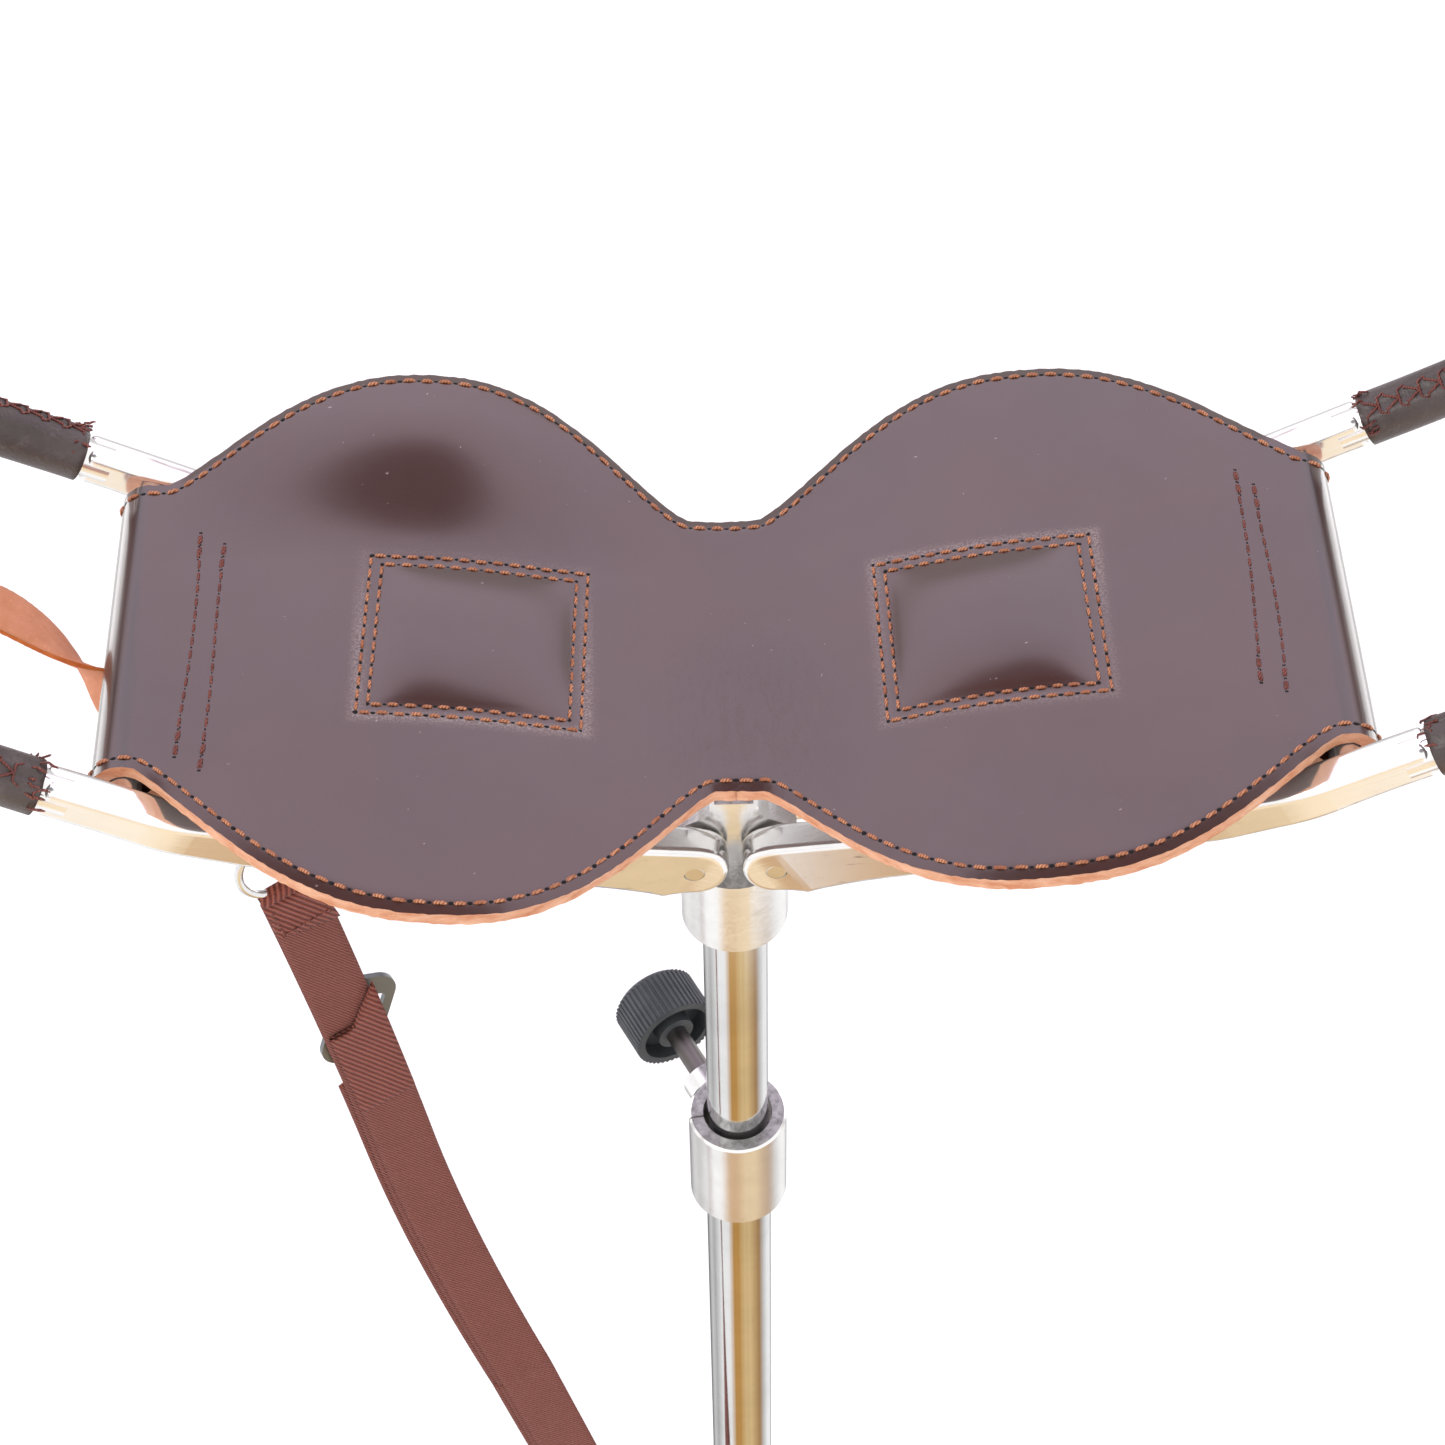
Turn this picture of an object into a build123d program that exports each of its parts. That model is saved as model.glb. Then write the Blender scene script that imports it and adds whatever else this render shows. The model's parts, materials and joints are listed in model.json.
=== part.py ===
from build123d import *
import math
import os

os.makedirs("parts", exist_ok=True)

# A folding seat stick. The origin is on the stick's axis, at the underside of the ground plate.
# +Z is up, X runs across the seat from arm to arm, and Y runs from front (-Y) to back.

# Stick
UPPER_OD = 21.6
UPPER_ID = 19.0
LOWER_OD = 23.6
LOWER_ID = 21.7
FIT = 0.05  # radial clearance of fits inside the stick
PIVOT_Z = 660.0
UPPER_TOP = PIVOT_Z - 15
UPPER_BOTTOM = PIVOT_Z - 345
LOWER_TOP = PIVOT_Z - 180
LOWER_BOTTOM = 6.0

# Ground end. The turned profiles are (radius, height) points.
SPIKE_R = 5.0
SPIKE_STRAIGHT = 34.0
SPIKE_LENGTH = 58.0
SPIKE_TIP_R = 0.8
SHOULDER_TAPER = 0.4
SHOULDER = 1.0  # the spike's tapered shoulder stands this far into the plate
SHANK_R = 4.5
SHANK_TOP = 40.0
PLUG_TOP = 46.0
PLATE_THICK = 3.0
PLATE_RIM = [(29, 0), (38, 4), (37, 6.6), (28, PLATE_THICK)]
FERRULE_BODY = [(17, PLATE_THICK), (17, 8), (14.5, 12), (14.5, 30), (13, 34)]

# Hub
PIVOT_X = 13.0
PIN_R = 3.25
PIN_REACH = 20.0
PIN_FIT = 0.02
HUB_HALF = 7.6  # half the hub block's depth, along Y
HUB_SHOULDER = [(20, 7), (11.2, 11.8), (7.7, 14), (7.7, 18), (6.2, 19.6)]  # half width, over the pivots
WASHER_R = 6.5
WASHER_THICK = 0.6
WASHER_GAP = 0.05
SLEEVE_OD = 35.0
SLEEVE_TOP = PIVOT_Z - 11.3
SLEEVE_BOTTOM = PIVOT_Z - 51
SLEEVE_TAPER = (5.0, 6.0)
TUBE_PIN_R = 2.5
TUBE_PIN_Z = PIVOT_Z - 38
TUBE_PIN_INSET = 0.6
BUSH_BORE_R = 6.0
BUSH_RIM = 4.0
BUSH_LENGTH = 18.0

# Clamp collar and its screw
COLLAR_OD = 35.0
COLLAR_TOP = PIVOT_Z - 163.5
COLLAR_BOTTOM = PIVOT_Z - 215
COLLAR_MOUTH_R = 12.35
COLLAR_CHAMFER = 0.8
COLLAR_TAPER = (4.0, 5.0)
COLLAR_SLIT = 0.7
COLLAR_SLIT_DEPTH = 9.0
COLLAR_SLIT_AZIMUTH = 188
SCREW_Z = COLLAR_TOP - 10.5
SCREW_AZIMUTH = 117
STUD_R = 4.0
BOSS_R = 8.5
BOSS_END = 25.0  # distances along the screw, from the stick's axis
KNOB_START = 47.0
KNOB_LENGTH = 19.0
KNOB_R = 16.0
KNOB_RIBS = 48
KNOB_RIB_R = 0.7
KNOB_DOME = 1.5
KNOB_WALL = 3.2
KNOB_CORE_R = 7.0
KNOB_HOLLOW = 7.0
STUD_IN_KNOB = 12.0
CLAMP_PAD_R = 3.4
CLAMP_PAD_THICK = 2.6
CLAMP_PAD_GAP = 0.35

# Arms: straight bars that rise outwards, joined by a bow that is the handle
ARM_RISE = 29.0
LEG_THICK = 11.5
LEG_HUB_Y = 14.05  # the legs' centre lines, from the hub to the bow
LEG_BOW_Y = 66.25
LEG_END = 214.0
LEG_EDGE = 2.4
LEG_UNDERSIDE = [(169, -3), (148, -5), (122, -7.2), (60, -9.8), (26, -11.4)]
ARM_END_R = 11.0
BOW_H = 4.85
BOW_R = 6.25
BOW_REACH = 300.0
BOW_CORNER = 46.0
GRIP_R = 8.6
CROSSBAR_S = 189.0
CROSSBAR_H = 3.5
CROSSBAR_R = 5.0
SOCKET_DEPTH = 6.0

# Seat: two skins of leather with a pad each side
SKIN = 2.3
SEAT_MID_Z = PIVOT_Z + 84
SEAT_SIDE = (89.0, PIVOT_Z + 99)
END_HALF = 56.5
LOBE_X = 90.0
LOBE_Y = 30.0
LOBE_R = 75.0
PAD_X = 77.0
PAD_Y = -5.0
PAD_SIZE = (62.0, 60.0)
PAD_THICK = 3.4
FLAP_END = 148.0
FLAP_GAP = 1.2
LOOP_GAP = 0.4  # between the crossbar and the leather round it
WAIST_R = 22.0

# Sling
STRAP_WIDTH = 18.0
STRAP_THICK = 2.6
WEB_WIDTH = 20.0
WEB_THICK = 1.8
SLIDE_SIZE = (38.0, 21.0)
SLIDE_SLOT = (22.0, 4.6)
SLIDE_THICK = 2.0
SLIDE_GAP = 1.5
SLIDE_TURN = 58.0  # how far the adjuster is turned on the webbing
SLIDE_CORNER = 8.0
SLIDE_SLOT_Y = 4.8
SLIDE_DROP = 83.0  # from the top ring down to the adjuster
WEB_TURN = 26.8  # the level direction across the upper webbing
STRAP_BENDS = [60, 90, 90]
RING_R = 12.0
RING_WIRE = 1.4
BAND_Z = 46.0
BAND_R = 14.0
LUG_AZIMUTH = -115.0
LUG_REACH = 19.0
LUG_R = 4.5
LUG_HOLE_R = 2.2
LUG_THICK = 3.0
BAND_HEIGHT = 12.0


def save(part, name):
    """Labels a finished piece and writes it as one STEP file."""
    part.label = name
    export_step(part, f"parts/{name}.step")


def tube(outer_r, inner_r, bottom, top):
    """A plain tube or ring on the stick's axis."""
    with BuildPart() as made:
        with BuildSketch(Plane.XY.offset(bottom)):
            Circle(outer_r)
            Circle(inner_r, mode=Mode.SUBTRACT)
        extrude(amount=top - bottom)
    return made.part


def level(azimuth):
    """The level unit vector at that azimuth."""
    angle = math.radians(azimuth)
    return Vector(math.cos(angle), math.sin(angle), 0)


def arm_planes(side):
    """An arm's own plane, with its origin at the pivot, and the upright plane along it.

    In both, x runs outwards along the arm.
    """
    rise = math.radians(ARM_RISE)
    pivot = (side * PIVOT_X, 0, PIVOT_Z)
    along = (side * math.cos(rise), 0, math.sin(rise))
    normal = (-side * math.sin(rise), 0, math.cos(rise))
    return (
        Plane(origin=pivot, x_dir=along, z_dir=normal),
        Plane(origin=pivot, x_dir=along, z_dir=(0, -side, 0)),
    )


def crossbar_centre(side):
    flat = arm_planes(side)[0]
    return flat.from_local_coords((CROSSBAR_S, 0, CROSSBAR_H))


# ---------------------------------------------------------------- lower stick

save(tube(LOWER_OD / 2, LOWER_ID / 2, LOWER_BOTTOM, LOWER_TOP), "lower_tube")

with BuildPart() as clamp_collar:
    with BuildSketch(Plane.XZ):
        with BuildLine():
            Polyline(
                (0, COLLAR_TOP),
                (COLLAR_OD / 2 - COLLAR_CHAMFER, COLLAR_TOP),
                (COLLAR_OD / 2, COLLAR_TOP - COLLAR_CHAMFER),
                (COLLAR_OD / 2, COLLAR_BOTTOM + COLLAR_TAPER[1]),
                (COLLAR_OD / 2 - COLLAR_TAPER[0], COLLAR_BOTTOM),
                (0, COLLAR_BOTTOM),
                close=True,
            )
        make_face()
    revolve(axis=Axis.Z)
    with BuildSketch(Plane(origin=(0, 0, SCREW_Z), z_dir=level(SCREW_AZIMUTH))):
        Circle(BOSS_R)
    extrude(amount=BOSS_END)
    with BuildSketch(Plane.XY.offset(COLLAR_BOTTOM)):
        Circle(LOWER_OD / 2 + FIT)
    extrude(amount=COLLAR_TOP - COLLAR_BOTTOM, mode=Mode.SUBTRACT)
    with BuildSketch(Plane.XY.offset(LOWER_TOP)):
        Circle(COLLAR_MOUTH_R)
    extrude(amount=COLLAR_TOP - LOWER_TOP, mode=Mode.SUBTRACT)
    with BuildSketch(Plane(origin=(0, 0, SCREW_Z), z_dir=level(SCREW_AZIMUTH))):
        Circle(STUD_R + FIT)
    extrude(amount=BOSS_END, mode=Mode.SUBTRACT)
    slit_way = level(COLLAR_SLIT_AZIMUTH)
    with BuildSketch(Plane(origin=(0, 0, COLLAR_TOP), x_dir=slit_way, z_dir=(0, 0, 1))):
        with Locations((COLLAR_OD / 2, 0)):
            Rectangle(COLLAR_OD / 2, COLLAR_SLIT)
    extrude(amount=-COLLAR_SLIT_DEPTH, mode=Mode.SUBTRACT)
save(clamp_collar.part, "clamp_collar")

with BuildPart() as end_ferrule:
    with BuildSketch(Plane.XZ):
        with BuildLine():
            Polyline(
                (LOWER_OD / 2 + FIT, FERRULE_BODY[0][1]),
                *FERRULE_BODY,
                (LOWER_OD / 2 + FIT, FERRULE_BODY[-1][1]),
                close=True,
            )
        make_face()
    revolve(axis=Axis.Z)
save(end_ferrule.part, "end_ferrule")

save(tube(LOWER_ID / 2 - FIT, SHANK_R + FIT, LOWER_BOTTOM, PLUG_TOP), "end_plug")

with BuildPart() as ground_plate:
    with BuildSketch(Plane.XZ):
        with BuildLine():
            Polyline(
                (SPIKE_R + FIT, 0),
                *PLATE_RIM,
                (SHANK_R + FIT, PLATE_THICK),
                (SHANK_R + FIT, SHOULDER),
                (SPIKE_R + FIT, SHOULDER),
                close=True,
            )
        make_face()
    revolve(axis=Axis.Z)
save(ground_plate.part, "ground_plate")

with BuildPart() as ground_spike:
    with BuildSketch(Plane.XZ):
        with BuildLine():
            Polyline(
                (0, SHANK_TOP),
                (SHANK_R - 1, SHANK_TOP),
                (SHANK_R, SHANK_TOP - 1),
                (SHANK_R, SHOULDER),
                (SPIKE_R - SHOULDER_TAPER, SHOULDER),
                (SPIKE_R, 0),
                (SPIKE_R, -SPIKE_STRAIGHT),
                (SPIKE_TIP_R, -SPIKE_LENGTH),
                (0, -SPIKE_LENGTH),
                close=True,
            )
        make_face()
    revolve(axis=Axis.Z)
save(ground_spike.part, "ground_spike")

lug_way = level(LUG_AZIMUTH)
lug_side = level(LUG_AZIMUTH + 90)
with BuildPart() as sling_band:
    with BuildSketch(Plane.XY.offset(BAND_Z - BAND_HEIGHT / 2)):
        Circle(BAND_R)
        Circle(LOWER_OD / 2 + FIT, mode=Mode.SUBTRACT)
    extrude(amount=BAND_HEIGHT)
    lug_plane = Plane(origin=(0, 0, BAND_Z), x_dir=lug_way, z_dir=lug_side)
    with BuildSketch(lug_plane.offset(-LUG_THICK / 2)):
        with Locations(((BAND_R + LUG_REACH) / 2 - 0.4, 0)):
            Rectangle(LUG_REACH - BAND_R + 2, 2 * LUG_R)
        with Locations((LUG_REACH, 0)):
            Circle(LUG_R)
            Circle(LUG_HOLE_R, mode=Mode.SUBTRACT)
    extrude(amount=LUG_THICK)
save(sling_band.part, "sling_band")

# ---------------------------------------------------------------- clamp screw

screw_way = level(SCREW_AZIMUTH)


def on_screw(distance):
    """The plane across the clamp screw at that distance from the stick's axis."""
    place = screw_way * distance
    return Plane(origin=(place.X, place.Y, SCREW_Z), z_dir=screw_way)


with BuildPart() as clamp_pad:
    with BuildSketch(on_screw(UPPER_OD / 2 + CLAMP_PAD_GAP)):
        Circle(CLAMP_PAD_R)
    extrude(amount=CLAMP_PAD_THICK)
save(clamp_pad.part, "clamp_pad")

stud_start = UPPER_OD / 2 + CLAMP_PAD_GAP + CLAMP_PAD_THICK

with BuildPart() as clamp_stud:
    with BuildSketch(on_screw(stud_start)):
        Circle(STUD_R - FIT)
    extrude(amount=KNOB_START + STUD_IN_KNOB - stud_start)
save(clamp_stud.part, "clamp_stud")

with BuildPart() as clamp_knob:
    with BuildSketch(on_screw(KNOB_START)):
        Circle(KNOB_R - KNOB_RIB_R)
        with PolarLocations(KNOB_R - KNOB_RIB_R, KNOB_RIBS):
            Circle(KNOB_RIB_R)
    extrude(amount=KNOB_LENGTH - KNOB_DOME)
    with BuildSketch(on_screw(KNOB_START + KNOB_LENGTH - KNOB_DOME)):
        Circle(KNOB_R - 1)
    extrude(amount=KNOB_DOME, taper=30)
    with BuildSketch(on_screw(KNOB_START)):
        Circle(KNOB_R - KNOB_WALL)
        Circle(KNOB_CORE_R, mode=Mode.SUBTRACT)
    extrude(amount=KNOB_HOLLOW, mode=Mode.SUBTRACT)
    with BuildSketch(on_screw(KNOB_START)):
        Circle(STUD_R)
    extrude(amount=STUD_IN_KNOB, mode=Mode.SUBTRACT)
save(clamp_knob.part, "clamp_knob")

# ---------------------------------------------------------------- upper stick and hub

with BuildPart() as upper_tube:
    add(tube(UPPER_OD / 2, UPPER_ID / 2, UPPER_BOTTOM, UPPER_TOP))
    with BuildSketch(Plane.YZ.offset(-SLEEVE_OD / 2)):
        with Locations((0, TUBE_PIN_Z)):
            Circle(TUBE_PIN_R + PIN_FIT)
    extrude(amount=SLEEVE_OD, mode=Mode.SUBTRACT)
save(upper_tube.part, "upper_tube")

with BuildPart() as slide_bush:
    with BuildSketch(Plane.XY.offset(UPPER_BOTTOM - BUSH_RIM)):
        Circle(UPPER_OD / 2)
        Circle(BUSH_BORE_R, mode=Mode.SUBTRACT)
    extrude(amount=BUSH_RIM)
    with BuildSketch(Plane.XY.offset(UPPER_BOTTOM)):
        Circle(UPPER_ID / 2 - FIT)
        Circle(BUSH_BORE_R, mode=Mode.SUBTRACT)
    extrude(amount=BUSH_LENGTH)
save(slide_bush.part, "slide_bush")

with BuildPart() as hub:
    with BuildSketch(Plane.XZ):
        with BuildLine():
            Polyline(
                (-HUB_SHOULDER[0][0], SLEEVE_TOP),
                *[(-x, PIVOT_Z + z) for x, z in HUB_SHOULDER],
                *[(x, PIVOT_Z + z) for x, z in reversed(HUB_SHOULDER)],
                (HUB_SHOULDER[0][0], SLEEVE_TOP),
                close=True,
            )
        make_face()
    extrude(amount=HUB_HALF, both=True)
    with BuildSketch(Plane.XZ):
        with BuildLine():
            Polyline(
                (0, SLEEVE_TOP),
                (SLEEVE_OD / 2, SLEEVE_TOP),
                (SLEEVE_OD / 2, SLEEVE_BOTTOM + SLEEVE_TAPER[1]),
                (SLEEVE_OD / 2 - SLEEVE_TAPER[0], SLEEVE_BOTTOM),
                (0, SLEEVE_BOTTOM),
                close=True,
            )
        make_face()
    revolve(axis=Axis.Z)
    with BuildSketch(Plane.XY.offset(SLEEVE_BOTTOM)):
        Circle(UPPER_OD / 2 + FIT)
    extrude(amount=UPPER_TOP + 0.5 - SLEEVE_BOTTOM, mode=Mode.SUBTRACT)
    with BuildSketch(Plane.XZ.offset(HUB_HALF)):
        with Locations((-PIVOT_X, PIVOT_Z), (PIVOT_X, PIVOT_Z)):
            Circle(PIN_R + PIN_FIT)
    extrude(amount=-2 * HUB_HALF, mode=Mode.SUBTRACT)
    with BuildSketch(Plane.YZ.offset(-SLEEVE_OD / 2)):
        with Locations((0, TUBE_PIN_Z)):
            Circle(TUBE_PIN_R + PIN_FIT)
    extrude(amount=SLEEVE_OD, mode=Mode.SUBTRACT)
save(hub.part, "hub")

with BuildPart() as tube_pin:
    with BuildSketch(Plane.YZ.offset(-SLEEVE_OD / 2 + TUBE_PIN_INSET)):
        with Locations((0, TUBE_PIN_Z)):
            Circle(TUBE_PIN_R)
    extrude(amount=SLEEVE_OD - 2 * TUBE_PIN_INSET)
save(tube_pin.part, "hub_tube_pin")

for side, word in ((-1, "left"), (1, "right")):
    with BuildPart() as pivot_pin:
        with BuildSketch(Plane.XZ.offset(PIN_REACH)):
            with Locations((side * PIVOT_X, PIVOT_Z)):
                Circle(PIN_R)
        extrude(amount=-2 * PIN_REACH)
        fillet(pivot_pin.edges(), radius=0.4)
    save(pivot_pin.part, f"{word}_pivot_pin")

with BuildPart() as pivot_washers:
    for start in (HUB_HALF + WASHER_GAP, -HUB_HALF - WASHER_GAP - WASHER_THICK):
        with BuildSketch(Plane.XZ.offset(start)):
            with Locations((-PIVOT_X, PIVOT_Z), (PIVOT_X, PIVOT_Z)):
                Circle(WASHER_R)
                Circle(PIN_R + FIT, mode=Mode.SUBTRACT)
        extrude(amount=WASHER_THICK)
save(pivot_washers.part, "pivot_washers")

# ---------------------------------------------------------------- arms


def bow_path(flat, start):
    """The line down the middle of the bow, from one leg round to the other."""
    y = LEG_BOW_Y
    corners = [(start, y), (BOW_REACH, y), (BOW_REACH, -y), (start, -y)]
    with BuildLine(flat.offset(BOW_H)) as path:
        FilletPolyline(*corners, radius=BOW_CORNER)
    return path


for side, word in ((-1, "left"), (1, "right")):
    flat, upright = arm_planes(side)
    heel = ARM_END_R * math.sin(math.radians(ARM_RISE))
    heel_h = ARM_END_R * math.cos(math.radians(ARM_RISE))
    with BuildPart() as leg:
        with BuildSketch(flat.offset(-20)):
            with BuildLine():
                FilletPolyline(
                    (-14, LEG_HUB_Y),
                    (2, LEG_HUB_Y),
                    (148, 60),
                    (176, LEG_BOW_Y),
                    (LEG_END, LEG_BOW_Y),
                    radius=[40, 60, 60],
                )
            trace(line_width=LEG_THICK)
        extrude(amount=40)
        with BuildSketch(upright):
            with BuildLine():
                ThreePointArc((-heel, -heel_h), (-ARM_END_R, 0), (0, ARM_END_R))
                Line((0, ARM_END_R), (LEG_END, ARM_END_R))
                Line((LEG_END, ARM_END_R), (LEG_END, BOW_H - BOW_R))
                Spline(
                    (LEG_END, BOW_H - BOW_R),
                    *LEG_UNDERSIDE,
                    (heel_h - heel, -heel - heel_h),
                )
                Line((heel_h - heel, -heel - heel_h), (-heel, -heel_h))
            make_face()
        extrude(amount=90, both=True, mode=Mode.INTERSECT)
        fillet(leg.edges(), radius=LEG_EDGE)
    with BuildPart() as arm_frame:
        add(leg.part)
        mirror(about=Plane.XZ)
        path = bow_path(flat, LEG_END - 8)
        with BuildSketch(Plane(origin=path.line @ 0, z_dir=path.line % 0)):
            Circle(BOW_R)
        sweep(path=path.line)
        with BuildSketch(upright):
            Circle(PIN_R + FIT)
        extrude(amount=30, both=True, mode=Mode.SUBTRACT)
        with BuildSketch(upright):
            with Locations((CROSSBAR_S, CROSSBAR_H)):
                Circle(CROSSBAR_R + FIT)
        extrude(amount=LEG_BOW_Y - LEG_THICK / 2 + SOCKET_DEPTH, both=True, mode=Mode.SUBTRACT)
    save(arm_frame.part, f"{word}_arm_frame")

    with BuildPart() as crossbar:
        with BuildSketch(upright):
            with Locations((CROSSBAR_S, CROSSBAR_H)):
                Circle(CROSSBAR_R)
        extrude(amount=LEG_BOW_Y - LEG_THICK / 2 + SOCKET_DEPTH - 0.1, both=True)
    save(crossbar.part, f"{word}_crossbar")

    with BuildPart() as grip:
        path = bow_path(flat, LEG_END + 1)
        with BuildSketch(Plane(origin=path.line @ 0, z_dir=path.line % 0)):
            Circle(GRIP_R)
            Circle(BOW_R + FIT, mode=Mode.SUBTRACT)
        sweep(path=path.line)
    save(grip.part, f"{word}_grip_leather")

# ---------------------------------------------------------------- seat

bar = crossbar_centre(1)
loop_in = CROSSBAR_R + LOOP_GAP
loop_out = loop_in + 2 * SKIN
seat_top = bar.Z + loop_out


def seat_layer(low, high, outline):
    """A layer of the seat between two heights over its face, cut to an outline."""
    end = bar.X - 0.3
    line = [(-end, seat_top), (-SEAT_SIDE[0], SEAT_SIDE[1]), (0, SEAT_MID_Z)]
    line += [(SEAT_SIDE[0], SEAT_SIDE[1]), (end, seat_top)]
    with BuildPart() as layer:
        with BuildSketch(Plane.XZ):
            with BuildLine():
                upper = Spline(*[(x, z + high) for x, z in line])
                lower = Spline(*[(x, z + low) for x, z in line])
                Line(upper @ 0, lower @ 0)
                Line(upper @ 1, lower @ 1)
            make_face()
        extrude(amount=LOBE_Y + LOBE_R + 5, both=True)
        with BuildSketch(Plane.XY.offset(SEAT_MID_Z - 20)):
            add(outline)
        extrude(amount=60, mode=Mode.INTERSECT)
    return layer.part


with BuildSketch() as seat_outline:
    Rectangle(2 * bar.X, 2 * END_HALF)
    with GridLocations(2 * LOBE_X, 2 * LOBE_Y, 2, 2):
        Circle(LOBE_R)
    inner = [v for v in seat_outline.vertices() if abs(v.X) < bar.X - 5 and abs(abs(v.Y) - END_HALF) < 1]
    fillet(inner, radius=WAIST_R)


def pad_outline(size_less):
    with BuildSketch() as pads:
        with Locations((-PAD_X, PAD_Y), (PAD_X, PAD_Y)):
            RectangleRounded(PAD_SIZE[0] - size_less, PAD_SIZE[1] - size_less, 3)
    return pads.sketch


with BuildPart() as seat_top_leather:
    add(seat_layer(-SKIN, 0, seat_outline.sketch))
    add(seat_layer(-0.5, PAD_THICK - SKIN, pad_outline(4)))
    add(seat_layer(-SKIN - 1, PAD_THICK - SKIN - 0.9, pad_outline(8)), mode=Mode.SUBTRACT)
save(seat_top_leather.part, "seat_top_leather")

pads = seat_layer(-SKIN + 0.05, PAD_THICK - SKIN - 0.95, pad_outline(8.2))
for side, word in ((-1, "left"), (1, "right")):
    with BuildPart() as pad:
        add(pads.solids().sort_by(Axis.X)[0 if side < 0 else 1])
    save(pad.part, f"{word}_seat_pad")

save(seat_layer(-2 * SKIN, -SKIN - 0.02, seat_outline.sketch), "seat_lining")

for side, word in ((-1, "left"), (1, "right")):
    under = seat_top - 2 * SKIN - FLAP_GAP
    with BuildPart() as seat_loop:
        with BuildSketch(Plane.XZ):
            with BuildLine():
                outer = ThreePointArc(
                    (side * bar.X, bar.Z + loop_out),
                    (side * (bar.X + loop_out), bar.Z),
                    (side * bar.X, bar.Z - loop_out),
                )
                inner_arc = ThreePointArc(
                    (side * bar.X, bar.Z + loop_in),
                    (side * (bar.X + loop_in), bar.Z),
                    (side * bar.X, bar.Z - loop_in),
                )
                Line(outer @ 0, inner_arc @ 0)
                Polyline(
                    inner_arc @ 1,
                    (side * (bar.X - 4), bar.Z - loop_in),
                    (side * (bar.X - 17), under),
                    (side * FLAP_END, under),
                    (side * FLAP_END, under - 2 * SKIN),
                    (side * (bar.X - 15), under - 2 * SKIN),
                    (side * (bar.X - 3), bar.Z - loop_out),
                    outer @ 1,
                )
            make_face()
        extrude(amount=END_HALF, both=True)
    save(seat_loop.part, f"{word}_seat_loop")

# ---------------------------------------------------------------- sling


def band_solid(points, radii, across, width, thick):
    """A flat strap that bends only about its own width, and the line down its middle."""
    start, end = Vector(*points[0]), Vector(*points[-1])
    along = (end - start).normalized()
    frame = Plane(origin=start, x_dir=along, z_dir=across)
    flat_points = [frame.to_local_coords(Vector(*p)) for p in points]
    with BuildPart() as strap:
        with BuildSketch(frame.offset(-width / 2)):
            with BuildLine() as line:
                FilletPolyline(*[(p.X, p.Y) for p in flat_points], radius=radii)
            trace(line_width=thick)
        extrude(amount=width)
    length = sum(edge.length for edge in line.line.edges())
    print("band length", round(length, 1), "volume / section", round(strap.part.volume / width / thick, 1))
    print("    bend radii", radii)
    return strap.part


def ring(centre, across, name):
    """A round wire ring. across is the direction through its hole."""
    face = Plane(origin=centre, z_dir=across)
    with BuildPart() as made:
        with BuildSketch(Plane(origin=centre + face.x_dir * RING_R, x_dir=face.x_dir, z_dir=face.y_dir)):
            Circle(RING_WIRE)
        revolve(axis=Axis(centre, across))
    save(made.part, name)


# The webbing hangs from a ring at the end of the leather strap, down to a ring on the band.
# It turns on the way: its upper half and the top ring face the front right, the lower half the lug.
top_ring = Vector(-139.5, -45, PIVOT_Z + 43)
lug_hole = Vector(0, 0, BAND_Z) + lug_way * LUG_REACH
fall = (lug_hole - top_ring).normalized()
turned_side = level(WEB_TURN)
top_across = (turned_side - fall * turned_side.dot(fall)).normalized()
top_face = fall.cross(top_across).normalized()
low_across = (lug_side - fall * lug_side.dot(fall)).normalized()
low_face = fall.cross(low_across).normalized()
low_ring = lug_hole - fall * (RING_R + 0.3)
web_top = top_ring + fall * (RING_R + RING_WIRE + 0.4)
web_end = low_ring - fall * (RING_R + RING_WIRE + 1.5)
halfway = (web_top + web_end) / 2
slide_place = web_top + fall * SLIDE_DROP - top_face * 4
upper_bend = web_top + (halfway - web_top) * 0.7 - top_face * 6
low_points = [halfway + (web_end - halfway) * 0.35 + low_face * 5]
low_points.append(halfway + (web_end - halfway) * 0.75 + low_face * 5)
small_gap = fall * 0.3

ring(top_ring, top_face, "sling_top_ring")
ring(low_ring, low_face, "sling_low_ring")
upper_web = [web_top, slide_place, upper_bend, halfway - small_gap]
lower_web = [halfway + small_gap, *low_points, web_end]
save(band_solid(upper_web, [250, 250], top_across, WEB_WIDTH, WEB_THICK), "sling_webbing_upper")
save(band_solid(lower_web, [250, 250], low_across, WEB_WIDTH, 2 * WEB_THICK), "sling_webbing_lower")

with BuildPart() as slide_adjuster:
    turn = math.radians(SLIDE_TURN)
    slide_middle = slide_place - top_face * (SLIDE_THICK / 2 + WEB_THICK / 2 + SLIDE_GAP)
    slide_x = top_across * math.cos(turn) - fall * math.sin(turn)
    with BuildSketch(Plane(origin=slide_middle, x_dir=slide_x, z_dir=top_face)):
        RectangleRounded(*SLIDE_SIZE, SLIDE_CORNER)
        with Locations((0, SLIDE_SLOT_Y), (0, -SLIDE_SLOT_Y)):
            RectangleRounded(*SLIDE_SLOT, SLIDE_SLOT[1] * 0.45, mode=Mode.SUBTRACT)
    extrude(amount=SLIDE_THICK / 2, both=True)
save(slide_adjuster.part, "sling_slide_adjuster")

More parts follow.
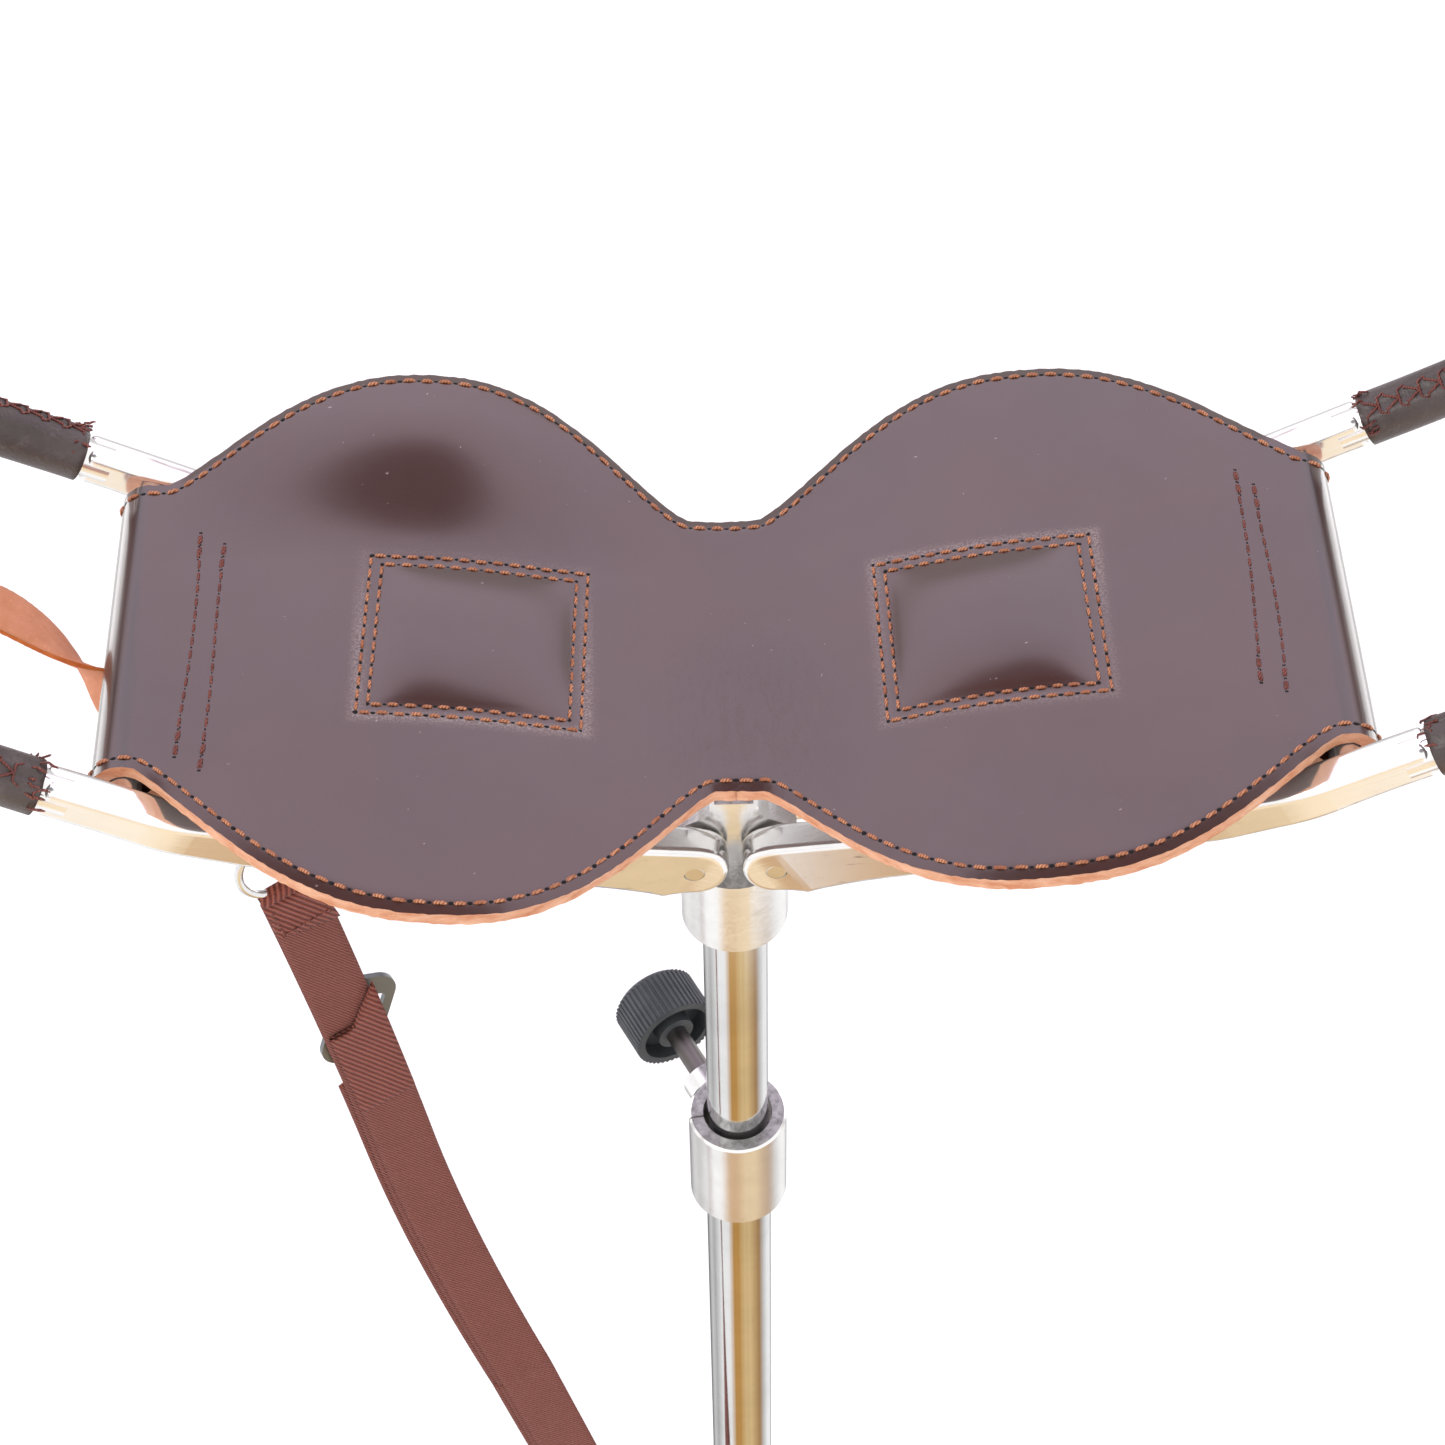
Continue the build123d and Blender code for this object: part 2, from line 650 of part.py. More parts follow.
# The leather strap runs from the left bow, under the seat's end, to the top ring.
left_flat = arm_planes(-1)[0]
bow_place = left_flat.from_local_coords((BOW_REACH, -10, BOW_H))
strap_start = bow_place + Vector(6, -2, -GRIP_R - 6)
strap_points = [
    strap_start,
    Vector(-226, 8, PIVOT_Z + 111),
    Vector(-204.5, 2, PIVOT_Z + 97),
    Vector(-181, -12, PIVOT_Z + 78),
    top_ring - fall * (RING_R + 5),
]
strap_along = (strap_points[-1] - strap_start).normalized()
strap_across = (Vector(0, 1, 0) - strap_along * strap_along.Y).normalized()
save(band_solid(strap_points, STRAP_BENDS, strap_across, STRAP_WIDTH, STRAP_THICK), "sling_strap")

with BuildPart() as strap_keeper:
    with BuildSketch(Plane(origin=bow_place, z_dir=(0, 1, 0)).offset(-STRAP_WIDTH / 2)):
        Circle(GRIP_R + 0.2 + STRAP_THICK)
        Circle(GRIP_R + 0.2, mode=Mode.SUBTRACT)
    extrude(amount=STRAP_WIDTH)
save(strap_keeper.part, "sling_strap_keeper")
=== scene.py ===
import json
import math
import random

import bpy
import numpy as np
from mathutils import Matrix, Vector


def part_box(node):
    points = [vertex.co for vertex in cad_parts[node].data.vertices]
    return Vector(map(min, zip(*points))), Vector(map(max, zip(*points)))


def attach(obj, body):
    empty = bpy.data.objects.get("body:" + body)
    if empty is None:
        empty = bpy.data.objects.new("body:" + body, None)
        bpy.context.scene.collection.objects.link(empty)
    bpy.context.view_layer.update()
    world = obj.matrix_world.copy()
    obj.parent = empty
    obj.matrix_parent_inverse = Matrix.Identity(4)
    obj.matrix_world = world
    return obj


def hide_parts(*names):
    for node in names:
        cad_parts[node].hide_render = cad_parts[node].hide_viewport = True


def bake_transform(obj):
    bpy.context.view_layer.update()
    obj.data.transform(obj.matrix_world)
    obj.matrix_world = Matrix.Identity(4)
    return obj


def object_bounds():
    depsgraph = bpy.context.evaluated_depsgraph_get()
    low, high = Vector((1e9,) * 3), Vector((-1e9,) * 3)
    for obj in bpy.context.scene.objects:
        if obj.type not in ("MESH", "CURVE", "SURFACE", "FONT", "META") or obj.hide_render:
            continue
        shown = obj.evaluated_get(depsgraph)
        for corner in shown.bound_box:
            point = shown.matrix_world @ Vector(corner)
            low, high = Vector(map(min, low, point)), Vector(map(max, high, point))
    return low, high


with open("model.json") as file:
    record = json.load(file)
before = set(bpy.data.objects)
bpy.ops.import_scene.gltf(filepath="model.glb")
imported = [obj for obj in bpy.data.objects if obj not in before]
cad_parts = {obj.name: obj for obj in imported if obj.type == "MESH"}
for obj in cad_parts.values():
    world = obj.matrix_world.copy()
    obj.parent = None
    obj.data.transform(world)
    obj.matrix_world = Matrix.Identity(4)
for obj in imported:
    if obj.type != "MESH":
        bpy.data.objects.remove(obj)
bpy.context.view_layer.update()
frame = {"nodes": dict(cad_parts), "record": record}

MM = 0.001
rng = random.Random(7)

# The same driving sizes as the CAD, in metres
PIVOT_Z = 660 * MM
PIVOT_X = 13 * MM
ARM_RISE = math.radians(29)
BOW_H = 4.85 * MM
BOW_Y = 66.25 * MM
BOW_REACH = 300 * MM
BOW_CORNER = 46 * MM
GRIP_R = 8.6 * MM
GRIP_START = 215 * MM
SKIN = 2.3 * MM
END_HALF = 56.5 * MM


def vec(*mm):
    """A point or a vector given in millimetres."""
    return Vector([value * MM for value in mm])


def ease(value):
    """0 to 1, with a slow start and a slow end."""
    value = np.clip(value, 0, 1)
    return value * value * (3 - 2 * value)


def distances(line):
    """How far along a line of number pairs each of its points is."""
    return np.concatenate([[0], np.cumsum(np.hypot(*np.diff(line, axis=0).T))])


def read_at(place, places, values):
    return float(np.interp(place, places, values))


# ------------------------------------------------------------------ camera

CAMERA_AZIMUTH = math.radians(-0.803)
CAMERA_ELEVATION = math.radians(49.57)
CAMERA_ROLL = math.radians(-0.989)
CAMERA_DISTANCE = 1.0595
CAMERA_LENS = 85.28
CAMERA_TARGET = Vector((-3.0 * MM, 0, PIVOT_Z + 50.5 * MM))


def make_camera():
    level = math.cos(CAMERA_ELEVATION)
    sideways, forwards = math.sin(CAMERA_AZIMUTH), math.cos(CAMERA_AZIMUTH)
    back = Vector((sideways * level, -forwards * level, math.sin(CAMERA_ELEVATION)))
    right = (-back).cross(Vector((0, 0, 1))).normalized()
    up = right.cross(-back)
    tilt_right = right * math.cos(CAMERA_ROLL) + up * math.sin(CAMERA_ROLL)
    tilt_up = up * math.cos(CAMERA_ROLL) - right * math.sin(CAMERA_ROLL)
    data = bpy.data.cameras.new("camera")
    data.sensor_width = 36
    data.lens = CAMERA_LENS
    data.clip_end = 20
    camera = bpy.data.objects.new("camera", data)
    place = CAMERA_TARGET + back * CAMERA_DISTANCE
    turn = Matrix((tilt_right, tilt_up, back)).transposed().to_4x4()
    camera.matrix_world = Matrix.Translation(place) @ turn
    bpy.context.scene.collection.objects.link(camera)
    bpy.context.scene.camera = camera


make_camera()

# ------------------------------------------------------------------ materials


class Shader:
    """A small helper that builds one node material."""

    def __init__(self, name):
        self.material = bpy.data.materials.new(name)
        self.material.use_nodes = True
        self.tree = self.material.node_tree
        self.bsdf = self.tree.nodes["Principled BSDF"]

    def node(self, kind, **settings):
        made = self.tree.nodes.new(kind)
        for key, value in settings.items():
            if key.replace("_", " ") in made.inputs:
                made.inputs[key.replace("_", " ")].default_value = value
            else:
                setattr(made, key, value)
        return made

    def link(self, out, into):
        self.tree.links.new(out, into)

    def place(self, scale=(1, 1, 1), turn=(0, 0, 0), source="Object"):
        where = self.node("ShaderNodeTexCoord")
        mapping = self.node("ShaderNodeMapping")
        mapping.inputs["Scale"].default_value = scale
        mapping.inputs["Rotation"].default_value = turn
        self.link(where.outputs[source], mapping.inputs["Vector"])
        return mapping.outputs["Vector"]

    def texture(self, kind, at, out="Fac", **settings):
        made = self.node("ShaderNodeTex" + kind, **settings)
        self.link(at, made.inputs["Vector"])
        return made.outputs[out]

    def noise(self, scale, detail=4, rough=0.55, at=None):
        return self.texture("Noise", at or self.place(), Scale=scale, Detail=detail, Roughness=rough)

    def pores(self, scale):
        return self.texture("Voronoi", self.place(), "Distance", Scale=scale, feature="SMOOTH_F1")

    def split(self, source):
        """The X, Y and Z of a texture coordinate."""
        where = self.node("ShaderNodeTexCoord")
        apart = self.node("ShaderNodeSeparateXYZ")
        self.link(where.outputs[source], apart.inputs[0])
        return [apart.outputs[axis] for axis in "XYZ"]

    def fill(self, sockets, values):
        """Links or sets each socket, whichever its value needs."""
        for socket, value in zip(sockets, values):
            if isinstance(value, bpy.types.NodeSocket):
                self.link(value, socket)
            else:
                socket.default_value = value

    def ramp(self, value, low, high):
        """0 below low, 1 over high, and a slope between them."""
        made = self.node("ShaderNodeValToRGB")
        made.color_ramp.elements[0].position = low
        made.color_ramp.elements[1].position = high
        self.link(value, made.inputs["Fac"])
        return made.outputs["Color"]

    def mix(self, share, first, last):
        made = self.node("ShaderNodeMix", data_type="RGBA")
        self.fill((made.inputs[0], made.inputs[6], made.inputs[7]), (share, first, last))
        return made.outputs[2]

    def math(self, what, first, second):
        made = self.node("ShaderNodeMath", operation=what)
        self.fill(made.inputs, (first, second))
        return made.outputs[0]

    def part(self, share, value):
        """A share of a value."""
        return self.math("MULTIPLY", value, share)

    def attribute(self, name):
        made = self.node("ShaderNodeAttribute", attribute_name=name)
        return made.outputs["Fac"]

    def spread(self, value, low, high):
        made = self.node("ShaderNodeMapRange")
        made.inputs["To Min"].default_value = low
        made.inputs["To Max"].default_value = high
        self.link(value, made.inputs["Value"])
        return made.outputs["Result"]

    def bumps(self, *layers):
        """Bump from (height, distance, strength) layers, each over the last."""
        last = None
        for height, distance, strength in layers:
            made = self.node("ShaderNodeBump", Distance=distance, Strength=strength)
            self.link(height, made.inputs["Height"])
            if last is not None:
                self.link(last, made.inputs["Normal"])
            last = made.outputs["Normal"]
        self.link(last, self.bsdf.inputs["Normal"])

    def set(self, **values):
        self.fill([self.bsdf.inputs[key.replace("_", " ")] for key in values], values.values())


def rgb(red, green, blue):
    """A colour from its usual 0 to 255 values, as linear light."""
    return tuple((c / 255) ** 2.2 for c in (red, green, blue)) + (1,)


def shade(colour, share):
    """The colour made darker or lighter."""
    return tuple(min(1, c * share) for c in colour[:3]) + (1,)


def polished_metal(name, colour, roughness, streak=(1, 1, 1), dull=0.06):
    """A polished metal with faint drawn scratches, smears and tiny pits."""
    s = Shader(name)
    lines = s.noise(900, 3, 0.6, s.place(streak))
    smears = s.noise(28, 4, 0.6)
    fine = s.noise(2600, 2)
    worn = s.mix(s.ramp(smears, 0.45, 0.75), colour, shade(colour, 0.86))
    marked = s.mix(s.ramp(lines, 0.66, 0.8), worn, shade(colour, 0.72))
    s.set(Base_Color=marked, Metallic=1.0, Roughness=s.spread(smears, roughness, roughness + dull))
    s.bumps((lines, 0.00004, 0.25), (fine, 0.00002, 0.2))
    return s.material


def seat_leather(name):
    s = Shader(name)
    cloud = s.noise(16, 4, 0.55)
    body = s.mix(s.ramp(cloud, 0.3, 0.75), rgb(66, 30, 20), rgb(56, 26, 18))
    # painted shade: near-black mixed into the colour along the bend where the leather folds over the crossbar
    fold_shaded = s.mix(s.attribute("fold"), body, rgb(30, 14, 12))
    specks = s.ramp(s.noise(420, 2, 0.5), 0.765, 0.80)
    dusty = s.mix(s.part(0.55, specks), fold_shaded, rgb(170, 150, 150))
    scuff = s.noise(1500, 5, 0.75)
    haze = s.math("MULTIPLY", s.attribute("haze"), s.ramp(scuff, 0.42, 0.62))
    pale = s.mix(haze, dusty, rgb(188, 168, 160))
    creases = s.noise(420, 5, 0.65, s.place((1, 0.28, 1), (0, 0, 0.35)))
    wrinkle = s.math("MULTIPLY", s.ramp(creases, 0.5, 0.62), s.attribute("wrinkle"))
    ripple = s.noise(42, 3, 0.5)
    s.set(Base_Color=pale, Roughness=s.spread(s.noise(60, 5, 0.6), 0.30, 0.44))
    s.set(Specular_IOR_Level=0.55, Coat_Weight=1.0, Coat_Roughness=0.14)
    s.bumps(
        (ripple, 0.0009, 0.22),
        (s.pores(1500), 0.00012, 0.16),
        (s.noise(2300, 3), 0.00006, 0.3),
        (wrinkle, 0.00035, 0.45),
    )
    return s.material


def plain_leather(name, dark, light, roughness, coat=0.1, grain_depth=0.00025):
    """A smooth leather with pores and worn high spots."""
    s = Shader(name)
    cloud = s.noise(45, 5, 0.6)
    rub = s.ramp(s.noise(240, 5, 0.7), 0.55, 0.8)
    body = s.mix(s.ramp(cloud, 0.3, 0.7), dark, light)
    worn = s.mix(s.part(0.45, rub), body, shade(light, 2.1))
    s.set(Base_Color=worn, Roughness=s.spread(cloud, roughness, roughness + 0.16))
    s.set(Coat_Weight=coat, Coat_Roughness=0.3)
    s.bumps((cloud, 0.0008, 0.4), (s.pores(1100), grain_depth, 0.5))
    return s.material


def raw_leather(name, main, deep, stretch=(1, 1, 1)):
    """Undyed leather: a cut edge or the flesh side, with loose fibres."""
    s = Shader(name)
    fibre = s.noise(520, 6, 0.75, s.place(stretch))
    patch = s.noise(110, 4, 0.6, s.place(stretch))
    body = s.mix(s.ramp(patch, 0.34, 0.72), main, deep)
    flecked = s.mix(s.ramp(fibre, 0.56, 0.76), body, shade(main, 1.3))
    s.set(Base_Color=flecked, Roughness=0.88, Specular_IOR_Level=0.2)
    s.bumps((fibre, 0.0006, 0.8), (s.noise(2200, 3, 0.6), 0.0002, 0.5))
    return s.material


def twill(name, main, deep, ribs, depth):
    """Woven webbing: slanting ribs across the band, and fuzz. Its UVs are in millimetres."""
    s = Shader(name)
    at = s.place((1, 1, 1), (0, 0, math.radians(62)), "UV")
    wave = s.texture("Wave", at, Scale=ribs, Distortion=0.7, Detail=2, Detail_Scale=1.2)
    cross = s.texture("Wave", s.place(source="UV"), Scale=0.42, Distortion=0.3)
    fuzz = s.noise(1300, 4, 0.7)
    patch = s.noise(50, 4, 0.6)
    rib = s.mix(s.ramp(wave, 0.15, 0.7), deep, main)
    tone = s.mix(s.part(0.35, s.ramp(patch, 0.35, 0.75)), rib, deep)
    lint = s.mix(s.part(0.35, s.ramp(fuzz, 0.55, 0.8)), tone, rgb(196, 140, 126))
    s.set(Base_Color=lint, Roughness=0.86, Specular_IOR_Level=0.2)
    s.set(Sheen_Weight=0.12, Sheen_Roughness=0.45)
    s.bumps((wave, depth, 0.9), (cross, depth * 0.4, 0.5), (fuzz, 0.0002, 0.5))
    return s.material


def thread(name, main, deep):
    """Waxed sewing thread, with the twist of its strands."""
    s = Shader(name)
    twist = s.texture("Wave", s.place((1, 1, 0.3), (0, 0, 0.6)), Scale=380, Distortion=1.2, Detail=2)
    body = s.mix(s.ramp(twist, 0.2, 0.8), deep, main)
    tone = s.mix(s.ramp(s.noise(160, 3), 0.4, 0.7), body, deep)
    s.set(Base_Color=tone, Roughness=0.5, Specular_IOR_Level=0.5)
    s.bumps((twist, 0.0003, 0.8))
    return s.material


def hard_plastic(name, main, light, roughness):
    s = Shader(name)
    mottle = s.noise(90, 5, 0.65)
    dust = s.ramp(s.noise(700, 4, 0.7), 0.6, 0.85)
    body = s.mix(s.ramp(mottle, 0.35, 0.7), main, light)
    s.set(Base_Color=s.mix(s.part(0.35, dust), body, shade(light, 2)))
    s.set(Roughness=s.spread(mottle, roughness, roughness + 0.15))
    s.bumps((s.noise(1900, 3), 0.00012, 0.5))
    return s.material


def hub_metal(name, top_tone):
    """Cast and polished aluminium: hazier than the tubes, and left rough on its level faces."""
    s = Shader(name)
    lines = s.noise(700, 4, 0.6, s.place((1, 1, 0.15)))
    cast = s.noise(240, 6, 0.75)
    smears = s.noise(36, 5, 0.65)
    body = s.mix(s.ramp(smears, 0.35, 0.75), (0.93, 0.925, 0.915, 1), (0.80, 0.785, 0.77, 1))
    marked = s.mix(s.part(0.35, s.ramp(lines, 0.6, 0.85)), body, (0.52, 0.50, 0.48, 1))
    level_face = s.ramp(s.split("Normal")[2], 0.9, 0.97)
    rough_cast = s.mix(s.ramp(cast, 0.4, 0.65), top_tone, shade(top_tone, 0.45))
    s.set(Base_Color=s.mix(level_face, marked, rough_cast), Metallic=0.82)
    s.set(Roughness=s.spread(level_face, 0.17, 0.42))
    s.bumps((lines, 0.00005, 0.3), (cast, 0.00025, 0.35))
    return s.material


def arm_metal(name):
    """Polished flat bar with long scratches along each arm, the same on both sides."""
    s = Shader(name)
    sideways, depth, up = s.split("Object")
    outwards = s.math("ABSOLUTE", sideways, 0.0)
    rise_cos, rise_sin = math.cos(ARM_RISE - 0.05), math.sin(ARM_RISE - 0.05)
    along = s.math("ADD", s.part(rise_cos, outwards), s.part(rise_sin, up))
    height = s.math("SUBTRACT", s.part(rise_cos, up), s.part(rise_sin, outwards))
    merge = s.node("ShaderNodeCombineXYZ")
    s.link(s.part(0.022, along), merge.inputs["X"])
    s.link(s.part(0.4, depth), merge.inputs["Y"])
    s.link(height, merge.inputs["Z"])
    scratches = s.noise(720, 3, 0.55, merge.outputs[0])
    fine = s.noise(2600, 3, 0.6, merge.outputs[0])
    smears = s.noise(30, 5, 0.6)
    body = s.mix(s.ramp(smears, 0.35, 0.75), (0.94, 0.93, 0.92, 1), (0.84, 0.825, 0.81, 1))
    lined = s.mix(s.part(0.75, s.ramp(scratches, 0.66, 0.72)), body, (0.36, 0.31, 0.27, 1))
    grubby = s.ramp(s.noise(420, 5, 0.7), 0.70, 0.80)
    s.set(Base_Color=s.mix(s.part(0.4, grubby), lined, (0.3, 0.26, 0.24, 1)), Metallic=0.85)
    s.set(Roughness=s.spread(smears, 0.11, 0.2))
    s.bumps((scratches, 0.00006, 0.4), (fine, 0.00003, 0.3))
    return s.material


CHROME = (0.80, 0.80, 0.80, 1)
FINISHES = {
    "tube_metal": (polished_metal, CHROME, 0.07, (1, 1, 0.02)),
    "hub_metal": (hub_metal, (0.86, 0.85, 0.84, 1)),
    "collar_metal": (hub_metal, (0.42, 0.415, 0.41, 1)),
    "arm_metal": (arm_metal,),
    "plain_steel": (polished_metal, (0.16, 0.145, 0.14, 1), 0.34, (1, 1, 0.2)),
    "plate_metal": (polished_metal, (0.62, 0.62, 0.62, 1), 0.34, (1, 1, 1), 0.15),
    "ring_metal": (polished_metal, CHROME, 0.10),
    "slide_metal": (polished_metal, (0.20, 0.21, 0.22, 1), 0.30),
    "pin_metal": (polished_metal, (0.74, 0.70, 0.63, 1), 0.18),
    "pad_brass": (polished_metal, (0.72, 0.55, 0.26, 1), 0.3),
    "knob_plastic": (hard_plastic, rgb(58, 62, 65), rgb(76, 80, 83), 0.42),
    "bush_plastic": (hard_plastic, rgb(214, 210, 200), rgb(228, 226, 218), 0.4),
    "seat_leather": (seat_leather,),
    "lining_leather": (plain_leather, rgb(74, 46, 40), rgb(92, 58, 48), 0.5),
    "grip_leather": (plain_leather, rgb(62, 50, 48), rgb(82, 70, 68), 0.34, 0.25, 0.0004),
    "cut_edge": (raw_leather, rgb(238, 184, 150), rgb(208, 132, 94), (1, 1, 3)),
    "strap_leather": (raw_leather, rgb(222, 152, 120), rgb(208, 136, 102)),
    "strap_edge": (raw_leather, rgb(214, 120, 66), rgb(176, 84, 44), (1, 1, 3)),
    "sling_webbing": (twill, rgb(144, 82, 69), rgb(116, 63, 53), 0.34, 0.0004),
    "coarse_webbing": (twill, rgb(166, 94, 79), rgb(112, 56, 47), 0.19, 0.0009),
    "seat_thread": (thread, rgb(226, 156, 116), rgb(160, 96, 68)),
    "dark_thread": (thread, rgb(150, 82, 70), rgb(100, 52, 46)),
    # near-black stitch holes: painted shade for the inside of each hole
    "hole_dark": (hard_plastic, rgb(16, 10, 10), rgb(28, 18, 16), 0.8),
    "pad_felt": (raw_leather, rgb(170, 160, 148), rgb(140, 132, 122)),
}
materials = {name: maker(name, *values) for name, (maker, *values) in FINISHES.items()}

OWN_FINISH = {"clamp_collar": "collar_metal"}
for entry in frame["record"]["subparts"]:
    node = frame["nodes"][entry["node"]]
    node.data.materials.clear()
    node.data.materials.append(materials[OWN_FINISH.get(entry["node"], entry["material_slot"])])

# ------------------------------------------------------------------ mesh helpers


def make_mesh(name, points, faces, mats, face_mats=None):
    """A mesh object of those points and faces, with its materials."""
    mesh = bpy.data.meshes.new(name)
    mesh.from_pydata([tuple(p) for p in points], [], faces)
    for mat in mats:
        mesh.materials.append(materials[mat])
    if face_mats is not None:
        mesh.polygons.foreach_set("material_index", face_mats)
    mesh.polygons.foreach_set("use_smooth", [True] * len(mesh.polygons))
    mesh.validate()
    mesh.update()
    made = bpy.data.objects.new(name, mesh)
    bpy.context.scene.collection.objects.link(made)
    return made


def smooth_line(route, resolution):
    """The points of the smooth NURBS line that has the route's points as its control points."""
    curve = bpy.data.curves.new("route", "CURVE")
    curve.dimensions = "3D"
    spline = curve.splines.new("NURBS")
    spline.points.add(len(route) - 1)
    for point, place in zip(spline.points, route):
        point.co = (*place, 1)
    spline.order_u = 3
    spline.use_endpoint_u = True
    spline.resolution_u = resolution
    holder = bpy.data.objects.new("route", curve)
    bpy.context.scene.collection.objects.link(holder)
    mesh = bpy.data.meshes.new_from_object(holder)
    line = [v.co.copy() for v in mesh.vertices]
    bpy.data.objects.remove(holder)
    return line


def tubes(name, paths, radius, mat, sides=6, strands=0):
    """Round threads along several paths in one mesh. Each path's ends taper shut."""
    points, faces = [], []
    for path in paths:
        first = len(points)
        count = len(path)
        normal = None
        for i, place in enumerate(path):
            along = (path[min(i + 1, count - 1)] - path[max(i - 1, 0)]).normalized()
            if normal is None:
                normal = along.orthogonal().normalized()
            normal = (normal - along * normal.dot(along)).normalized()
            side = along.cross(normal)
            end = min(i, count - 1 - i)
            width = radius * (0.55 if end == 0 else 1.0)
            for k in range(sides):
                angle = math.tau * k / sides
                reach = width * (1 + 0.16 * math.cos(strands * (angle + i * 1.1)) if strands else 1)
                points.append(place + (normal * math.cos(angle) + side * math.sin(angle)) * reach)
        for i in range(count - 1):
            for k in range(sides):
                a = first + i * sides + k
                b = first + i * sides + (k + 1) % sides
                faces.append((a, b, b + sides, a + sides))
        faces.append(tuple(first + k for k in reversed(range(sides))))
        faces.append(tuple(first + (count - 1) * sides + k for k in range(sides)))
    return make_mesh(name, points, faces, [mat])


def direction_at(across, i, line):
    return across(i / (len(line) - 1)) if callable(across) else across


def ribbon(name, line, across, width, thick, mats, columns, rough=0.0, slant=(0, 0)):
    """A flat band along a line, with rounded edges.

    across is a direction, or a function that gives one for the share of the line's points passed.
    slant moves the corners of the two ends along the band. The UVs are in millimetres."""
    points, uvs = [], []
    travelled = 0.0
    ring = 2 * columns + 2
    for i, place in enumerate(line):
        ahead = line[min(i + 1, len(line) - 1)]
        behind = line[max(i - 1, 0)]
        along = (ahead - behind).normalized()
        wanted = direction_at(across, i, line)
        sideways = (wanted - along * wanted.dot(along)).normalized()
        face = sideways.cross(along).normalized()
        if i:
            travelled += (place - line[i - 1]).length
        for k in range(ring):
            on_top = k <= columns
            share = k / columns if on_top else (ring - 1 - k) / columns
            offset = (share - 0.5) * width
            edge = min(share, 1 - share) * width
            half = thick / 2 * min(1.0, 0.55 + 0.45 * edge / (width * 0.08))
            height = half if on_top else -half
            wobble = rng.uniform(-rough, rough) if share in (0.0, 1.0) else 0.0
            slide = {0: slant[0], len(line) - 1: slant[1]}.get(i, 0.0) * (share - 0.5)
            points.append(place + sideways * (offset + wobble) + face * height + along * slide)
            uvs.append(((travelled + slide) / MM, offset / MM))
    faces, face_mats = [], []
    for i in range(len(line) - 1):
        for k in range(ring):
            a, b = i * ring + k, i * ring + (k + 1) % ring
            faces.append((a, b, b + ring, a + ring))
            at_edge = k in (columns, ring - 1)
            face_mats.append(1 if at_edge and len(mats) > 1 else 0)
    last = (len(line) - 1) * ring
    for k in range(columns):
        faces.append((k + 1, k, ring - 1 - k, ring - 2 - k))
        faces.append((last + k, last + k + 1, last + ring - 2 - k, last + ring - 1 - k))
        face_mats += [len(mats) - 1] * 2
    made = make_mesh(name, points, faces, mats, face_mats)
    layer = made.data.uv_layers.new(name="flat")
    for loop in made.data.loops:
        layer.data[loop.index].uv = uvs[loop.vertex_index]
    return made


# ------------------------------------------------------------------ sling

STRAP_WIDTH = 18 * MM
STRAP_THICK = 2.6 * MM
WEB_WIDTH = 20 * MM
WEB_THICK = 1.8 * MM
RING_R = 12 * MM
RING_WIRE = 1.4 * MM
LUG_AZIMUTH = math.radians(-115)
WEB_TURN = math.radians(26.8)


def square_to(direction, line):
    """The direction turned as little as it takes to be square to the line."""
    return (direction - line * direction.dot(line)).normalized()


lug_way = Vector((math.cos(LUG_AZIMUTH), math.sin(LUG_AZIMUTH), 0))
lug_side = Vector((-math.sin(LUG_AZIMUTH), math.cos(LUG_AZIMUTH), 0))
top_ring = vec(-139.5, -45, 703)
lug_hole = vec(0, 0, 46) + lug_way * 19 * MM
fall = (lug_hole - top_ring).normalized()
web_across = square_to(Vector((math.cos(WEB_TURN), math.sin(WEB_TURN), 0)), fall)
web_face = fall.cross(web_across).normalized()
low_across = square_to(lug_side, fall)
low_face = fall.cross(low_across).normalized()
low_ring = lug_hole - fall * (RING_R + 0.3 * MM)
SLIDE_DROP = 83 * MM
web_top = top_ring + fall * (RING_R + RING_WIRE + 0.4 * MM)
web_end = low_ring - fall * (RING_R + RING_WIRE + 1.5 * MM)
halfway = (web_top + web_end) / 2 - web_across * 9.5 * MM
slide_place = web_top + fall * SLIDE_DROP - web_face * 4 * MM - web_across * 2.5 * MM
upper_bend = web_top + (halfway - web_top) * 0.7 - web_face * 6 * MM - web_across * 5.5 * MM
low_points = [halfway + (web_end - halfway) * t + low_face * bow * MM for t, bow in ((0.35, 4), (0.75, 5))]
small_gap = fall * 0.3 * MM


def near(line, start, end):
    """The stretch of a line between two distances past the adjuster."""
    travelled, kept = 0.0, []
    for i, place in enumerate(line):
        travelled += (place - line[i - 1]).length if i else 0.0
        if start <= travelled - SLIDE_DROP <= end:
            kept.append(place)
    return kept


